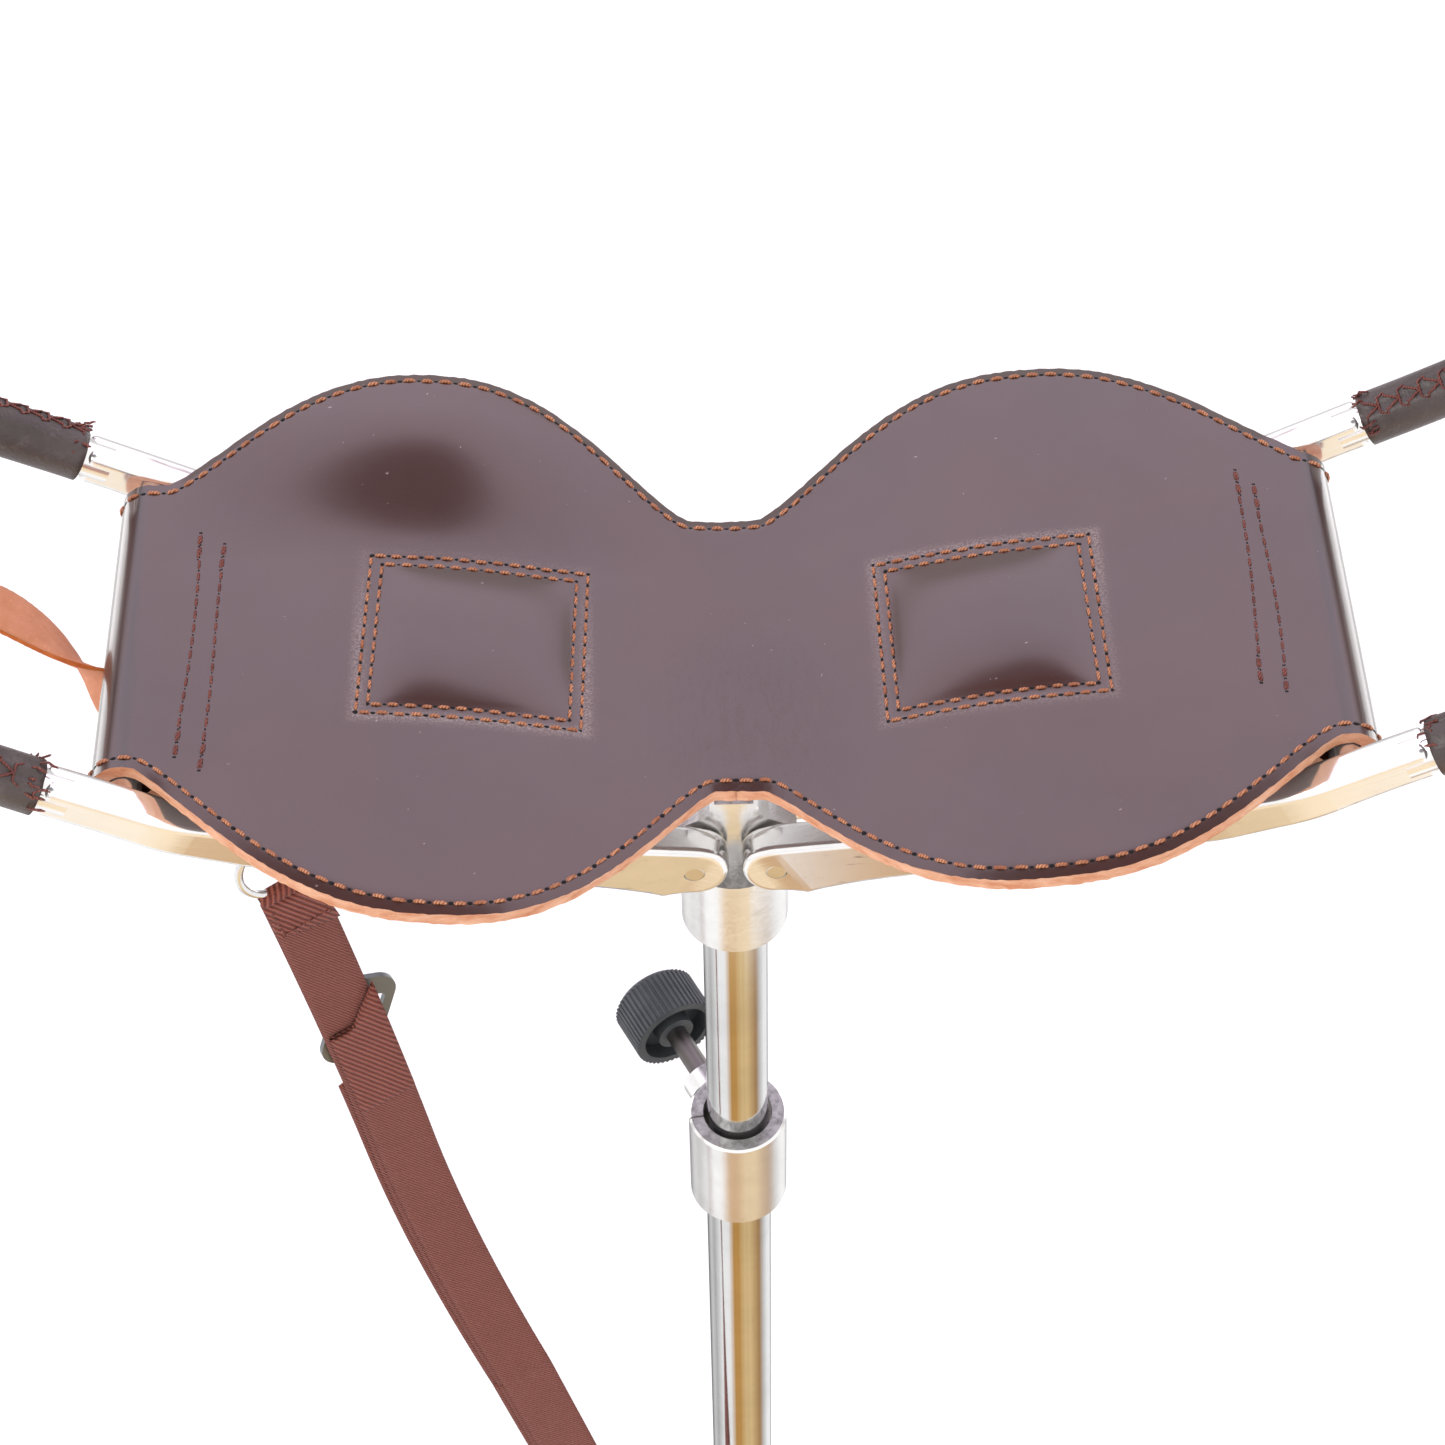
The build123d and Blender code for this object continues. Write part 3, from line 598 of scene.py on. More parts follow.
def make_webbing():
    upper_line = smooth_line([web_top, slide_place, upper_bend, halfway - small_gap], 48)
    lower_line = smooth_line([halfway + small_gap, *low_points, web_end], 48)

    def low_turn(share):
        return web_across.lerp(low_across, float(ease(share * 1.3)))

    def beside(line, across, lift, aside):
        """The line of a second layer, lift over the band's face and aside across it."""
        moved = []
        for i, place in enumerate(line):
            way = direction_at(across, i, line).normalized()
            moved.append(place + fall.cross(way) * lift + way * aside)
        return moved

    bands = []
    for name, line, across in (("upper", upper_line, web_across), ("lower", lower_line, low_turn)):
        band = ribbon(f"webbing_{name}", line, across, WEB_WIDTH, 0.9 * WEB_THICK, ["sling_webbing"], 12)
        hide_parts(f"sling_webbing_{name}")
        bands.append(band)
    upper, lower = bands

    layers = [
        ("webbing_wrap", near(upper_line, -8 * MM, 42 * MM), web_across, 2.0, 1.6),
        ("webbing_front", [*near(upper_line, 12 * MM, 1), halfway], web_across, 1.5, 1.6),
        ("webbing_back", near(upper_line, 26 * MM, 1), web_across, -1.9, -1.7),
        ("webbing_low_front", [halfway, *lower_line], low_turn, 1.5, 1.6),
        ("webbing_low_back", lower_line, low_turn, -1.9, -1.7),
    ]
    made = []
    for name, line, across, lift, aside in layers:
        wrapped = name == "webbing_wrap"
        made.append(
            ribbon(
                name, beside(line, across, lift * MM, aside * MM), across, WEB_WIDTH, 1.4 * MM,
                ["coarse_webbing" if wrapped else "sling_webbing"], 12, slant=(-30 * MM * wrapped, 0),
            )
        )
    pieces, low_pieces = made[:3], made[3:]
    hem = [web_top + fall * t * MM + web_face * 1.75 * MM for t in (-1, 3, 7, 11, 15, 18)]
    pieces.append(
        ribbon(
            "webbing_fold", hem, web_across, 0.97 * WEB_WIDTH, 1.5 * MM, ["coarse_webbing"], 10,
            rough=0.5 * MM, slant=(0, 5 * MM),
        )
    )
    loop_points = []
    for i in range(13):
        angle = math.pi * i / 12
        rise, lift = 1.0 + 3.4 * math.sin(angle), 2.0 * math.cos(angle)
        loop_points.append(web_top - fall * rise * MM + web_face * lift * MM)
    pieces.append(
        ribbon(
            "webbing_ring_loop", loop_points, web_across, 0.97 * WEB_WIDTH, 1.5 * MM, ["coarse_webbing"], 10
        )
    )
    stitches = [(2 + 3 * i, row, fall, 2.2) for row in (-8, 8) for i in range(5)]
    stitches += [(14.5, -8 + 2.8 * i, web_across, 2.1) for i in range(6)]
    stitch_paths = []
    for down, aside, way, length in stitches:
        start = web_top + fall * down * MM + web_across * aside * MM + web_face * 2.4 * MM
        middle = start + way * 1.1 * MM + web_face * 0.35 * MM
        stitch_paths.append([start, middle, start + way * length * MM])
    pieces.append(tubes("webbing_stitches", stitch_paths, 0.42 * MM, "dark_thread"))
    for piece in [upper, *pieces]:
        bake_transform(piece)
    for piece in (lower, *low_pieces):
        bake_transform(piece)


def arm_axes(side):
    """The directions along an arm and square to it, in the upright plane."""
    along = Vector((side * math.cos(ARM_RISE), 0, math.sin(ARM_RISE)))
    square = Vector((-side * math.sin(ARM_RISE), 0, math.cos(ARM_RISE)))
    return along, square


def on_arm(side, reach, y, height):
    along, square = arm_axes(side)
    return Vector((side * PIVOT_X, y, PIVOT_Z)) + along * reach + square * height


def make_strap():
    bow_place = on_arm(-1, BOW_REACH, -10 * MM, BOW_H)
    start = bow_place + Vector((6 * MM, -2 * MM, -GRIP_R - 6 * MM))
    route = [
        start,
        vec(-226, 8, 771),
        vec(-204.5, 2, 757),
        vec(-181, -12, 738),
        top_ring - fall * (RING_R + 5 * MM),
    ]
    level = Vector((0, 1, 0))

    def across(share):
        return level.lerp(-web_across, share * share)

    line = smooth_line(route, 40)
    strap = ribbon(
        "strap", line, across, STRAP_WIDTH, STRAP_THICK, ["strap_leather", "strap_edge"], 8,
        rough=0.12 * MM,
    )
    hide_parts("sling_strap")
    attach(strap, "left_arm")
    reach = GRIP_R + 0.3 * MM + STRAP_THICK / 2
    around = []
    for i in range(49):
        angle = math.tau * i / 48
        around.append(bow_place + Vector((math.cos(angle) * reach, 0, math.sin(angle) * reach)))
    keeper = ribbon(
        "strap_keeper", around, level, STRAP_WIDTH, STRAP_THICK, ["strap_leather", "strap_edge"], 8
    )
    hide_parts("sling_strap_keeper")
    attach(keeper, "left_arm")


make_webbing()
make_strap()

# ------------------------------------------------------------------ seat

bar_low, bar_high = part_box("right_crossbar")
BAR_X = (bar_low.x + bar_high.x) / 2
BAR_Z = (bar_low.z + bar_high.z) / 2
BAR_R = 5 * MM
LOOP_MID = BAR_R + 0.4 * MM + SKIN  # from the crossbar's axis to the middle of the leather
FACE_TOP = BAR_Z + LOOP_MID
CENTRE_Z = 744 * MM - SKIN
SIDE_X = 89 * MM
SIDE_Z = 759 * MM - SKIN
FLAP_END = 148 * MM
FLAP_RUN = 19 * MM  # the flap rises to the leather above it within this distance of the crossbar
FLAP_Z = FACE_TOP - 2 * SKIN - 1.6 * MM
PAD_CENTRES = {-1: (-77 * MM, -4 * MM), 1: (77.7 * MM, -3.5 * MM)}
PAD_FRAME = (32.5 * MM, 31.5 * MM)
PAD_INNER = 3.4 * MM
EDGE_STITCH = 3.4 * MM
# Each lobe, in millimetres: where its widest place is along the seat, how far it reaches there from the
# middle line, and how far along the seat it fades out towards the seat's centre and towards its end
LOBES = {
    (-1, 1): (92, 106, 80, 80),
    (-1, -1): (86, 107, 80, 88),
    (1, 1): (92, 102.5, 82, 88),
    (1, -1): (88, 100.5, 80, 87),
}
WAIST = 54 * MM
TILT_REACH = 0.85  # leather that stands this much higher reaches that much less far back


def hermite(a, b, slope_a, slope_b, t, width):
    return (
        (2 * t**3 - 3 * t**2 + 1) * a
        + (t**3 - 2 * t**2 + t) * width * slope_a
        + (3 * t**2 - 2 * t**3) * b
        + (t**3 - t**2) * width * slope_b
    )


def seat_profile():
    """The leather's middle in X and Z, from the seat's centre over the crossbar to the flap's end."""
    line = []
    for i in range(61):
        x = SIDE_X * i / 60
        line.append((x, hermite(CENTRE_Z, SIDE_Z, 0.0, 0.115, i / 60, SIDE_X)))
    for i in range(1, 61):
        x = SIDE_X + (BAR_X - SIDE_X) * i / 60
        line.append((x, hermite(SIDE_Z, FACE_TOP, 0.115, 0.02, i / 60, BAR_X - SIDE_X)))
    face_end = len(line) - 1
    for i in range(1, 31):
        angle = math.pi / 2 - math.pi * i / 30
        line.append((BAR_X + LOOP_MID * math.cos(angle), BAR_Z + LOOP_MID * math.sin(angle)))
    low_z = BAR_Z - LOOP_MID
    for i in range(1, 21):
        t = i / 20
        line.append((BAR_X - FLAP_RUN * t, low_z + (FLAP_Z - low_z) * ease(t)))
    for i in range(1, 11):
        line.append((BAR_X - FLAP_RUN - (BAR_X - FLAP_RUN - FLAP_END) * i / 10, FLAP_Z))
    line = np.array(line)
    lengths = distances(line)
    slope = np.gradient(line, lengths, axis=0)
    normal = np.stack([-slope[:, 1], slope[:, 0]], axis=1)
    normal /= np.hypot(*normal.T)[:, None]
    return lengths, line, normal, face_end


PROFILE_S, PROFILE, PROFILE_N, FACE_END = seat_profile()
FACE_S = PROFILE_S[FACE_END]
SEAT_S = PROFILE_S[-1]


def face_s(x):
    """How far along the profile the seat's face is at that X."""
    return read_at(x, PROFILE[: FACE_END + 1, 0], PROFILE_S[: FACE_END + 1])


def half_width(side, edge, s):
    """How far the seat reaches from its middle line, towards the back (edge 1) or the front (-1)."""
    widest, reach, inner, outer = [size * MM for size in LOBES[side, edge]]
    x = np.interp(s, PROFILE_S, PROFILE[:, 0])
    away = np.abs(x - widest) / np.where(x > widest, outer, inner)
    bump = (1 - np.clip(away, 0, 1) ** 2.3) ** 1.35
    plain = WAIST + (END_HALF - WAIST) * np.clip(x / widest, 0, 1)
    width = plain + (reach - plain) * bump
    width = np.where(s > FACE_S, np.minimum(width, END_HALF + 0.4 * MM), width)
    if edge > 0:
        width = width - TILT_REACH * back_rise(side * x, width)
    return width - 2.5 * MM * np.clip((s - FACE_S - 25 * MM) / (20 * MM), 0, 1)


def back_rise(x, y):
    """The left lobe's leather rises in a soft step towards the back."""
    return 8.6 * MM * np.exp(-(((x + 88 * MM) / (62 * MM)) ** 2)) * ease((y - 26 * MM) / (58 * MM))


def pillow(side, s, y):
    """The height of the stuffed square, and of the dents and waves of the leather about it."""
    x = side * np.interp(s, PROFILE_S, PROFILE[:, 0])
    on_face = ease((FACE_S - s) / (16 * MM))
    pad_x, pad_y = PAD_CENTRES[side]
    u = (x - pad_x) / (PAD_FRAME[0] - PAD_INNER - 0.4 * MM)
    v = (y - pad_y) / (PAD_FRAME[1] - PAD_INNER - 0.4 * MM)
    cushion = np.clip(1 - np.abs(u) ** 3.4, 0, None) * np.clip(1 - np.abs(v) ** 2.6, 0, None)
    height = 2.7 * MM * cushion
    edge = np.maximum(np.abs(x - pad_x) - PAD_FRAME[0], np.abs(y - pad_y) - PAD_FRAME[1])
    height = height - 0.3 * MM * np.exp(-((edge + PAD_INNER / 2) ** 2) / (2.0 * MM) ** 2)
    height = height + back_rise(x, y)
    rim = np.where(y > 0, half_width(side, 1, s) - y, half_width(side, -1, s) + y)
    height = height - 0.9 * MM * np.clip(1 - rim / (5 * MM), 0, 1) ** 1.6
    waves = np.sin(x * 47 + y * 21 + 1.3) * np.sin(y * 39 - x * 17 + 0.5)
    return on_face * (height + 0.45 * MM * waves)


def seat_point(side, s, y, lift):
    """A point over the seat's face (lift from the leather's middle)."""
    x = np.interp(s, PROFILE_S, PROFILE[:, 0])
    z = np.interp(s, PROFILE_S, PROFILE[:, 1])
    nx = np.interp(s, PROFILE_S, PROFILE_N[:, 0])
    nz = np.interp(s, PROFILE_S, PROFILE_N[:, 1])
    total = lift + pillow(side, s, y)
    return side * (x + nx * total), y, z + nz * total


def make_seat_half(side):
    """Half of the seat: both skins, the cut edges, the loop round the crossbar and the flap under it."""
    word = "left" if side < 0 else "right"
    columns, rows = 150, 120
    levels = [SKIN, 0.35 * MM, -0.35 * MM, -SKIN]
    s_values = np.linspace(0, SEAT_S, columns + 1)
    share = np.linspace(0, 1, rows + 1)
    front = -half_width(side, -1, s_values)
    back = half_width(side, 1, s_values)
    s_grid = np.repeat(s_values[:, None], rows + 1, axis=1)
    y_grid = front[:, None] + (back - front)[:, None] * share[None, :]
    points = []
    index = {}
    for level_no, lift in enumerate(levels):
        x, y, z = seat_point(side, s_grid, y_grid, lift)
        for i in range(columns + 1):
            for j in range(rows + 1):
                on_rim = j in (0, rows)
                if level_no in (1, 2) and not (on_rim or i in (0, columns)):
                    continue
                index[level_no, i, j] = len(points)
                place = Vector((x[i, j], y[i, j], z[i, j]))
                if on_rim:
                    outwards = 1 if j else -1
                    groove = 0.25 if level_no in (1, 2) else -0.25 if level_no == 0 else 0.0
                    place.y += outwards * (rng.uniform(-0.22, 0.22) - groove) * MM
                points.append(place)
    faces, face_mats = [], []

    def add_face(corners, mat):
        faces.append(tuple(index[c] for c in (corners if side > 0 else reversed(corners))))
        face_mats.append(mat)

    last = len(levels) - 1
    for i in range(columns):
        for j in range(rows):
            add_face([(0, i, j), (0, i + 1, j), (0, i + 1, j + 1), (0, i, j + 1)], 0)
            add_face([(last, i, j), (last, i, j + 1), (last, i + 1, j + 1), (last, i + 1, j)], 1)
        for level_no in range(last):
            k = level_no
            add_face([(k, i, 0), (k + 1, i, 0), (k + 1, i + 1, 0), (k, i + 1, 0)], 2)
            add_face([(k, i, rows), (k, i + 1, rows), (k + 1, i + 1, rows), (k + 1, i, rows)], 2)
    for j in range(rows):
        for k in range(last):
            add_face([(k, 0, j), (k, 0, j + 1), (k + 1, 0, j + 1), (k + 1, 0, j)], 2)
            add_face([(k, columns, j), (k + 1, columns, j), (k + 1, columns, j + 1), (k, columns, j + 1)], 2)
    made = make_mesh(f"seat_{word}", points, faces, ["seat_leather", "lining_leather", "cut_edge"], face_mats)
    kinds = {}
    for polygon in made.data.polygons:
        for key in polygon.edge_keys:
            kinds.setdefault(key, set()).add(polygon.material_index)
    for edge in made.data.edges:
        edge.use_edge_sharp = len(kinds[edge.key]) > 1
    places = np.array([v.co for v in made.data.vertices])
    pad_x, pad_y = PAD_CENTRES[side]
    x, y = places[:, 0], places[:, 1]
    gap = np.maximum(np.abs(x - pad_x) - PAD_FRAME[0], np.abs(y - pad_y) - PAD_FRAME[1])
    scuffed = np.exp(-(((gap - 0.9 * MM) / (1.7 * MM)) ** 2)) * 0.5
    upper_side = np.clip((y - pad_y + 5 * MM) / (30 * MM), 0, 1)
    scuffed *= 1 - 0.75 * upper_side if side < 0 else 0.45 + 0.5 * upper_side
    wrinkled = np.exp(-((x - 4 * MM) / (24 * MM)) ** 2 - ((y + 26 * MM) / (34 * MM)) ** 2)
    # Painted shade: a dark line along the bend where the leather folds over each crossbar, read by the seat's
    # material
    bend = np.abs(x) - (BAR_X + 1.2 * MM + 1.6 * MM * (y / END_HALF))
    fold_shade = 0.75 * np.exp(-((bend / (1.3 * MM)) ** 2))
    for layer_name, values in (("haze", scuffed), ("wrinkle", wrinkled), ("fold", fold_shade)):
        layer = made.data.attributes.new(layer_name, "FLOAT", "POINT")
        layer.data.foreach_set("value", values.astype(np.float32))
    area = float(np.sum((back - front)[:-1] * np.diff(s_values)))
    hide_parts("seat_top_leather", "seat_lining", f"{word}_seat_pad", f"{word}_seat_loop")
    return made, area, float((back - front).max())


def surface_frame(side, s, y):
    """A point on the seat's face and the direction out of it."""
    step = 0.8 * MM
    here, ahead, aside = (
        Vector([float(c) for c in seat_point(side, s + ds, y + dy, SKIN)])
        for ds, dy in ((0, 0), (step, 0), (0, step))
    )
    normal = (ahead - here).cross(aside - here).normalized() * side
    return here, normal


def sewn_rows(name, side, rows, pitch, radius, mat, hole):
    """Rows of stitches along (s, y) lines, each stitch a short thread that dips into a hole at both ends.
    Each hole is a small near-black dome of painted shade.
    """
    threads, hole_points, hole_faces = [], [], []
    for row in rows:
        row = np.array(row)
        lengths = distances(row)

        def frame_on_row(at):
            return surface_frame(side, read_at(at, lengths, row[:, 0]), read_at(at, lengths, row[:, 1]))

        count = max(1, round(lengths[-1] / pitch))
        marks = [lengths[-1] * i / count for i in range(count + 1)]
        marks = [m + rng.uniform(-0.06, 0.06) * pitch for m in marks]
        for a, b in zip(marks, marks[1:]):
            path = []
            wander = rng.uniform(-0.16, 0.16) * MM
            for i in range(9):
                t = 0.2 + 0.62 * i / 8
                here, normal = frame_on_row(a + (b - a) * t)
                arch = math.sin(math.pi * i / 8) ** 0.6
                sideways = normal.cross(Vector((1, 0, 0)))
                path.append(here + normal * (arch * 1.25 - 0.6) * radius + sideways * wander * side)
            threads.append(path)
        # Each hole is a small near-black dome at the surface: painted shade, with no hole cut in the leather
        for m in marks:
            here, normal = frame_on_row(m)
            first = len(hole_points)
            u = (frame_on_row(m + 0.5 * MM)[0] - frame_on_row(m - 0.5 * MM)[0]).normalized()
            v = normal.cross(u)
            size = hole * rng.uniform(0.85, 1.15)
            for k in range(8):
                angle = math.tau * k / 8
                around = (u * (1.45 * math.cos(angle)) + v * math.sin(angle)) * size
                hole_points.append(here + around - normal * 0.12 * MM)
            hole_points.append(here + normal * 0.16 * MM)
            hole_points.append(here - normal * 0.35 * MM)
            for k in range(8):
                hole_faces.append((first + k, first + (k + 1) % 8, first + 8))
                hole_faces.append((first + (k + 1) % 8, first + k, first + 9))
    sewn = tubes(name, threads, radius, mat, 8, 2)
    holes = make_mesh(name + "_holes", hole_points, hole_faces, ["hole_dark"])
    return [sewn, holes]


def edge_row(side, edge):
    """The line that the edge stitching follows, a little inside the outline."""
    s = np.linspace(0, FACE_S + 13 * MM, 260)
    y = edge * half_width(side, edge, s)
    slope = np.gradient(y, s)
    length = np.hypot(1, slope)
    inside_s = s + edge * slope / length * EDGE_STITCH
    inside_y = y - edge * EDGE_STITCH / length
    kept = (inside_s >= 0) & (np.concatenate([[True], np.diff(inside_s) > 0]))
    return np.stack([inside_s[kept], inside_y[kept]], axis=1)


def pad_rows(side):
    """The two stitched frames round the stuffed square."""
    pad_x, pad_y = PAD_CENTRES[side]
    rows = []
    for inset in (0, PAD_INNER):
        a, b = PAD_FRAME[0] - inset, PAD_FRAME[1] - inset
        corners = [(-a, -b), (a, -b), (a, b), (-a, b)]
        lean = 1.1 * MM
        placed = []
        for u, v in corners:
            x = abs(pad_x + u + lean * v / b * (1 if side < 0 else -0.4))
            placed.append((face_s(x), pad_y + v))
        for first, second in zip(placed, placed[1:] + placed[:1]):
            steps = [k / 12 for k in range(13)]
            rows.append([[first[i] + (second[i] - first[i]) * t for i in range(2)] for t in steps])
    return rows


def flap_rows(side):
    """Two rows that hold the flap down, with their ends sewn over twice."""
    lines = {
        -1: [((159.4, 35.9), (161.1, -52.8)), ((151.8, 31.4), (154.5, -57.9))],
        1: [((156.7, 50.7), (154.6, -36.3)), ((162.0, 44.0), (161.1, -40.4))],
    }[side]
    rows = []
    for start, end in lines:
        placed = []
        for i in range(25):
            t = i / 24
            x = (start[0] + (end[0] - start[0]) * t + 0.7 * math.sin(5 * t + start[0])) * MM
            y = (start[1] + (end[1] - start[1]) * t) * MM
            placed.append([face_s(x), y])
        rows.append(placed)
        rows.append([[s + 0.5 * MM, y] for s, y in placed[:4]])
        rows.append([[s - 0.5 * MM, y] for s, y in placed[-4:]])
    return rows


def make_seat():
    for side, word in ((-1, "left"), (1, "right")):
        half, area, depth = make_seat_half(side)
        sewn = []
        for kind, rows, pitch, radius, mat, hole in (
            ("edge", [edge_row(side, 1), edge_row(side, -1)], 5.7, 0.55, "seat_thread", 0.85),
            ("pad", pad_rows(side), 5.0, 0.5, "seat_thread", 0.85),
            ("flap", flap_rows(side), 5.2, 0.42, "dark_thread", 0.5),
        ):
            name = f"seat_{word}_{kind}_stitches"
            sewn += sewn_rows(name, side, rows, pitch * MM, radius * MM, mat, hole * MM)
        for piece in [half, *sewn]:
            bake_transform(piece)


make_seat()

# ------------------------------------------------------------------ grips

SEAM_TURN = 0.45  # how far the laced seam is turned from the top of the handle
GRIP_INNER = 6.4 * MM


def bow_line(side, start, step=2.2 * MM):
    """The middle of the handle from one leg round to the other, as (reach, y) points, evenly spaced."""
    corner_x = BOW_REACH - BOW_CORNER
    corner_y = BOW_Y - BOW_CORNER
    flat = [(start + (corner_x - start) * i / 20, BOW_Y) for i in range(20)]
    for i in range(31):
        angle = math.pi / 2 * (1 - i / 30)
        flat.append((corner_x + BOW_CORNER * math.cos(angle), corner_y + BOW_CORNER * math.sin(angle)))
    flat += [(BOW_REACH, corner_y * (1 - i / 10)) for i in range(1, 10)]
    flat += [(x, -y) for x, y in reversed(flat)]
    flat = np.array(flat)
    lengths = distances(flat)
    marks = np.linspace(0, lengths[-1], int(lengths[-1] / step))
    flat_places = [[read_at(m, lengths, flat[:, i]) for i in range(2)] for m in marks]
    return [on_arm(side, reach, y, BOW_H) for reach, y in flat_places]


def grip_radius(t, angle, wrinkles):
    """The wrapped leather's radius: a ridge at the seam, wrinkles in the bends and a worn-in waviness."""
    radius = GRIP_R - 0.25 * MM + 0.30 * MM * math.sin(3 * angle + 9 * t) * math.sin(17 * t + 2)
    radius -= 0.55 * MM * math.exp(-((angle / 0.16) ** 2))
    radius += 0.4 * MM * math.exp(-(((abs(angle) - 0.34) / 0.2) ** 2))
    for place, width, depth, turn in wrinkles:
        away = (t - place - 0.01 * math.sin(angle + turn)) / width
        radius -= depth * math.exp(-away * away) * (0.5 + 0.5 * math.cos(angle - turn))
    return radius


def make_grip(side):
    word = "left" if side < 0 else "right"
    line = bow_line(side, GRIP_START)
    count, sides = len(line), 40
    square = arm_axes(side)[1]
    wrinkles = []
    for bend in (0.27, 0.73):
        for _ in range(16):
            wrinkles.append(
                (bend + rng.uniform(-0.13, 0.13), rng.uniform(0.002, 0.004), rng.uniform(0.2, 0.5) * MM,
                 rng.uniform(0, math.tau))
            )
    points, faces = [], []

    def frame_at(i):
        along = (line[min(i + 1, count - 1)] - line[max(i - 1, 0)]).normalized()
        outwards = along.cross(square).normalized()
        return along, outwards, outwards.cross(along).normalized()

    def on_grip(i, angle, lift=0.0):
        along, outwards, up = frame_at(i)
        reach = grip_radius(i / (count - 1), angle, wrinkles) + lift
        turn = angle + SEAM_TURN
        return line[i] + (up * math.cos(turn) + outwards * math.sin(turn)) * reach

    for i in range(count):
        for k in range(sides):
            angle = math.tau * k / sides
            angle = angle if angle <= math.pi else angle - math.tau
            points.append(on_grip(i, angle))
    inner = count * sides
    for i in range(count):
        along, outwards, up = frame_at(i)
        for k in range(sides):
            angle = math.tau * k / sides + SEAM_TURN
            points.append(line[i] + (up * math.cos(angle) + outwards * math.sin(angle)) * GRIP_INNER)
    far = (count - 1) * sides
    for k in range(sides):
        n = (k + 1) % sides
        for i in range(count - 1):
            a, b = i * sides + k, i * sides + n
            faces.append((a, a + sides, b + sides, b))
            faces.append((inner + a, inner + b, inner + b + sides, inner + a + sides))
        faces.append((k, n, inner + n, inner + k))
        faces.append((far + n, far + k, inner + far + k, inner + far + n))
    grip = make_mesh(f"grip_{word}", points, faces, ["grip_leather"])
    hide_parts(f"{word}_grip_leather")

    crossings = []
    pitch = 3
    for i in range(1, count - 1 - pitch, pitch):
        for flip in (-1, 1):
            path = []
            for k in range(7):
                t = k / 6
                at = min(count - 1, i + round(pitch * t))
                angle = flip * (0.42 - 0.84 * t)
                path.append(on_grip(at, angle, 0.42 * MM * math.sin(math.pi * (0.12 + 0.76 * t))))
            crossings.append(path)
    for i in (1, 2, count - 3, count - 2):
        for _ in range(5):
            angle = rng.uniform(-1.3, 1.3)
            path = [on_grip(i, angle, 0.2 * MM)]
            along = frame_at(i)[0] * (-1 if i < 5 else 1)
            for k in range(1, 5):
                drift = Vector([rng.uniform(-0.8, 0.8) * MM for _ in range(3)])
                path.append(path[-1] + along * 0.9 * MM + drift)
            crossings.append(path)
    sewn = tubes(f"grip_{word}_thread", crossings, 0.4 * MM, "dark_thread", 6, 2)
    for piece in (grip, sewn):
        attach(piece, f"{word}_arm")


for side in (-1, 1):
    make_grip(side)

# ------------------------------------------------------------------ stage and light


# Painted reflection: the tones of a glowing card that polished metal sees in place of the plain floor
# (degrees round the stick from straight in front, tone). Close to the stick it is greys and white with a
# golden band in front and painted shade behind, and further out white with a cream band.
SHADE, GREY, SILVER, PALE, WHITE = ((tone,) * 3 for tone in (120, 170, 200, 235, 250))
GOLD, HONEY, BROWN, CREAM = (185, 140, 80), (210, 180, 130), (160, 125, 85), (240, 215, 175)
PAINTED_REFLECTION_NEAR = [
    (-150, SHADE), (-128, SILVER), (-104, GREY), (-70, PALE), (-42, PALE), (-22, GOLD), (-5, GOLD),
    (16, HONEY), (35, HONEY), (74, BROWN), (98, SILVER), (116, PALE), (140, PALE), (160, SHADE),
]
PAINTED_REFLECTION_FAR = [(-38, WHITE), (-20, CREAM), (27, CREAM), (35, WHITE)]
CARD_LIFT = 4 * MM
CARD_GLOW = 1.18


def painted_reflection_tone(stops, angle):
    places = [s[0] for s in stops]
    return np.array([np.interp(angle, places, [(s[1][k] / 255) ** 2.2 for s in stops]) for k in range(3)])


def make_painted_floor_reflection(floor_z):
    """A glowing card of painted reflection: it lies just over the floor, and only polished surfaces see it.
    """
    angles = np.linspace(-180, 180, 361)
    radii = np.concatenate([np.linspace(0.03, 0.9, 30), [1.2, 1.7, 2.4]])
    points, colours, faces = [], [], []
    streaks = [1 + rng.uniform(-0.10, 0.10) for _ in angles]
    for r in radii:
        share = float(ease((r - 0.46) / 0.16))
        for angle, streak in zip(angles, streaks):
            turn = math.radians(angle - 90)
            points.append((r * math.cos(turn), r * math.sin(turn), floor_z + CARD_LIFT))
            tone = painted_reflection_tone(PAINTED_REFLECTION_NEAR, angle) * (1 - share) * streak
            tone += painted_reflection_tone(PAINTED_REFLECTION_FAR, angle) * share
            colours += [*(tone * CARD_GLOW), 1.0]
    across = len(angles)
    for i in range(len(radii) - 1):
        for k in range(across - 1):
            a = i * across + k
            faces.append((a, a + 1, a + 1 + across, a + across))
    glow = bpy.data.materials.new("painted_floor_reflection")
    glow.use_nodes = True
    tree = glow.node_tree
    tree.nodes.clear()
    new, link = tree.nodes.new, tree.links.new
    colour = new("ShaderNodeAttribute")
    colour.attribute_name = "glow"
    emission = new("ShaderNodeEmission")
    out = new("ShaderNodeOutputMaterial")
    link(colour.outputs["Color"], emission.inputs["Color"])
    link(emission.outputs[0], out.inputs["Surface"])
    materials["painted_floor_reflection"] = glow
    card = make_mesh("painted_floor_reflection", points, faces, ["painted_floor_reflection"])
    layer = card.data.color_attributes.new("glow", "FLOAT_COLOR", "POINT")
    layer.data.foreach_set("color", colours)
    for ray in ("camera", "diffuse", "shadow", "transmission"):
        setattr(card, f"visible_{ray}", False)


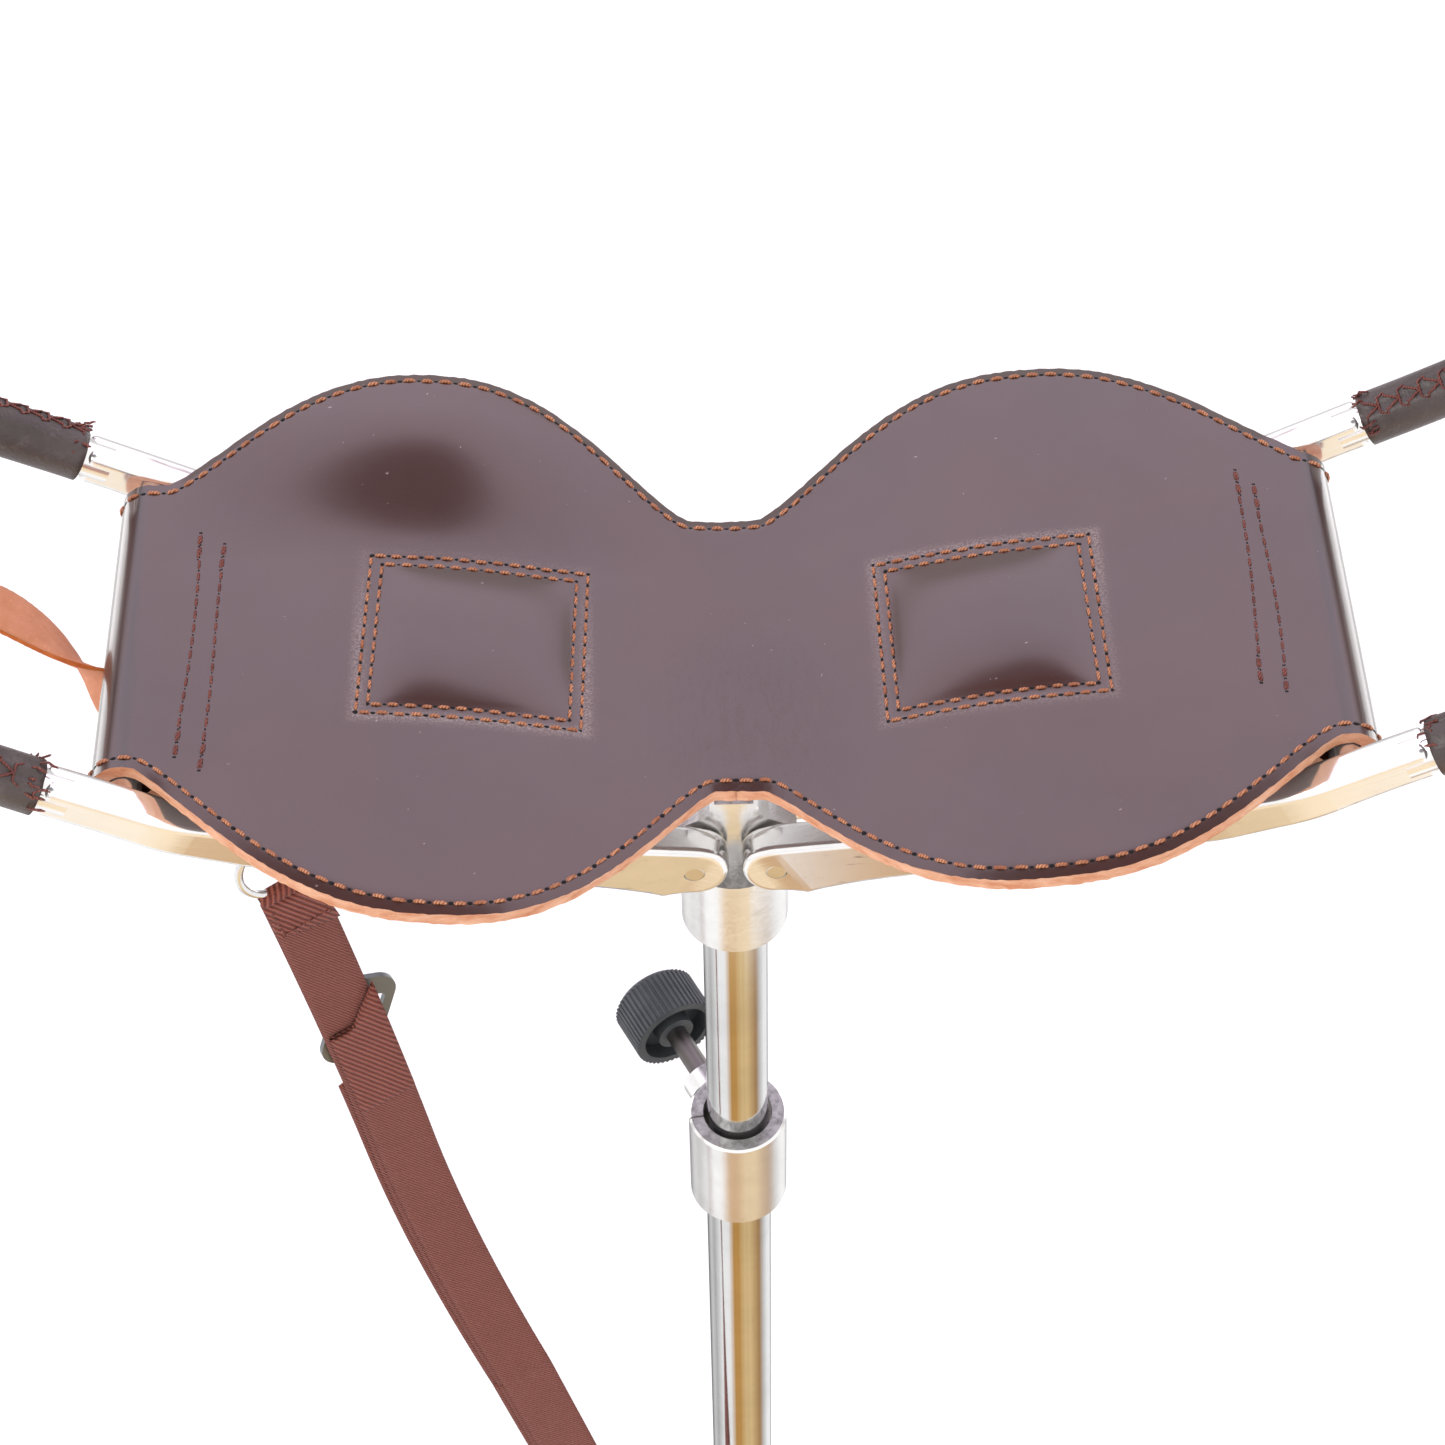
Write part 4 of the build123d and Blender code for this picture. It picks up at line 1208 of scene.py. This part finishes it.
def make_world():
    """White round about, brighter low behind the seat, and dark overhead and close to the back horizon."""
    world = bpy.data.worlds.new("studio")
    bpy.context.scene.world = world
    world.use_nodes = True
    tree = world.node_tree
    new, link = tree.nodes.new, tree.links.new
    where = new("ShaderNodeTexCoord")
    split = new("ShaderNodeSeparateXYZ")
    link(where.outputs["Generated"], split.inputs[0])

    def sky(stops):
        ramp = new("ShaderNodeValToRGB")
        ramp.color_ramp.interpolation = "EASE"
        for stop in stops[2:]:
            ramp.color_ramp.elements.new(stop[0])
        for element, (place, colour) in zip(ramp.color_ramp.elements, sorted(stops)):
            element.position = place
            element.color = (*colour, 1)
        link(split.outputs["Z"], ramp.inputs["Fac"])
        return ramp.outputs["Color"]

    veil = (0.95, 0.85, 1.0)
    front = sky([(0.0, (0.58,) * 3), (0.8, (0.58,) * 3), (0.95, (0.1,) * 3)])
    back = sky(
        [(0.0, (0.30,) * 3), (0.42, (0.36,) * 3), (0.56, veil), (0.86, veil), (0.925, (0.06,) * 3)]
    )
    side = new("ShaderNodeMapRange")
    side.interpolation_type = "SMOOTHSTEP"
    side.inputs["From Min"].default_value = -0.05
    side.inputs["From Max"].default_value = 0.30
    link(split.outputs["Y"], side.inputs["Value"])
    mixed = new("ShaderNodeMix")
    mixed.data_type = "RGBA"
    link(side.outputs["Result"], mixed.inputs[0])
    link(front, mixed.inputs[6])
    link(back, mixed.inputs[7])
    background = tree.nodes["Background"]
    link(mixed.outputs[2], background.inputs["Color"])
    background.inputs["Strength"].default_value = 2.0
    plain = new("ShaderNodeBackground")
    plain.inputs["Color"].default_value = (1, 1, 1, 1)
    seen = new("ShaderNodeLightPath")
    choose = new("ShaderNodeMixShader")
    link(seen.outputs["Is Camera Ray"], choose.inputs[0])
    link(background.outputs[0], choose.inputs[1])
    link(plain.outputs[0], choose.inputs[2])
    link(choose.outputs[0], tree.nodes["World Output"].inputs["Surface"])


def softbox(name, place, aim, size, power):
    data = bpy.data.lights.new(name, "AREA")
    data.shape = "RECTANGLE"
    data.size, data.size_y = size
    data.energy = power
    lamp = bpy.data.objects.new(name, data)
    lamp.location = place
    lamp.rotation_euler = (Vector(aim) - Vector(place)).to_track_quat("-Z", "Y").to_euler()
    lamp.visible_camera = False
    bpy.context.scene.collection.objects.link(lamp)


def make_stage():
    floor_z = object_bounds()[0][2] - 0.0005
    floor = Shader("floor")
    tone = floor.noise(3, 3, 0.5)
    floor.set(Base_Color=floor.mix(tone, (0.93, 0.93, 0.93, 1), (0.96, 0.96, 0.96, 1)), Roughness=0.9)
    floor.bumps((floor.noise(180, 3), 0.0004, 0.1))
    materials["floor"] = floor.material
    ground = make_mesh(
        "floor_plane",
        [(-6, -6, floor_z), (6, -6, floor_z), (6, 6, floor_z), (-6, 6, floor_z)],
        [(0, 1, 2, 3)],
        ["floor"],
    )
    make_painted_floor_reflection(floor_z)
    make_world()
    softbox("key", (-1.4, -1.1, 2.3), (0, 0, 0.7), (1.2, 1.2), 14)
    for side in (-1, 1):
        softbox(f"side_{side + 1}", (1.55 * side, 1.35, 0.45), (0, 0, 0.62), (1.3, 1.0), 9)
    bpy.context.scene.view_settings.view_transform = "Standard"


make_stage()
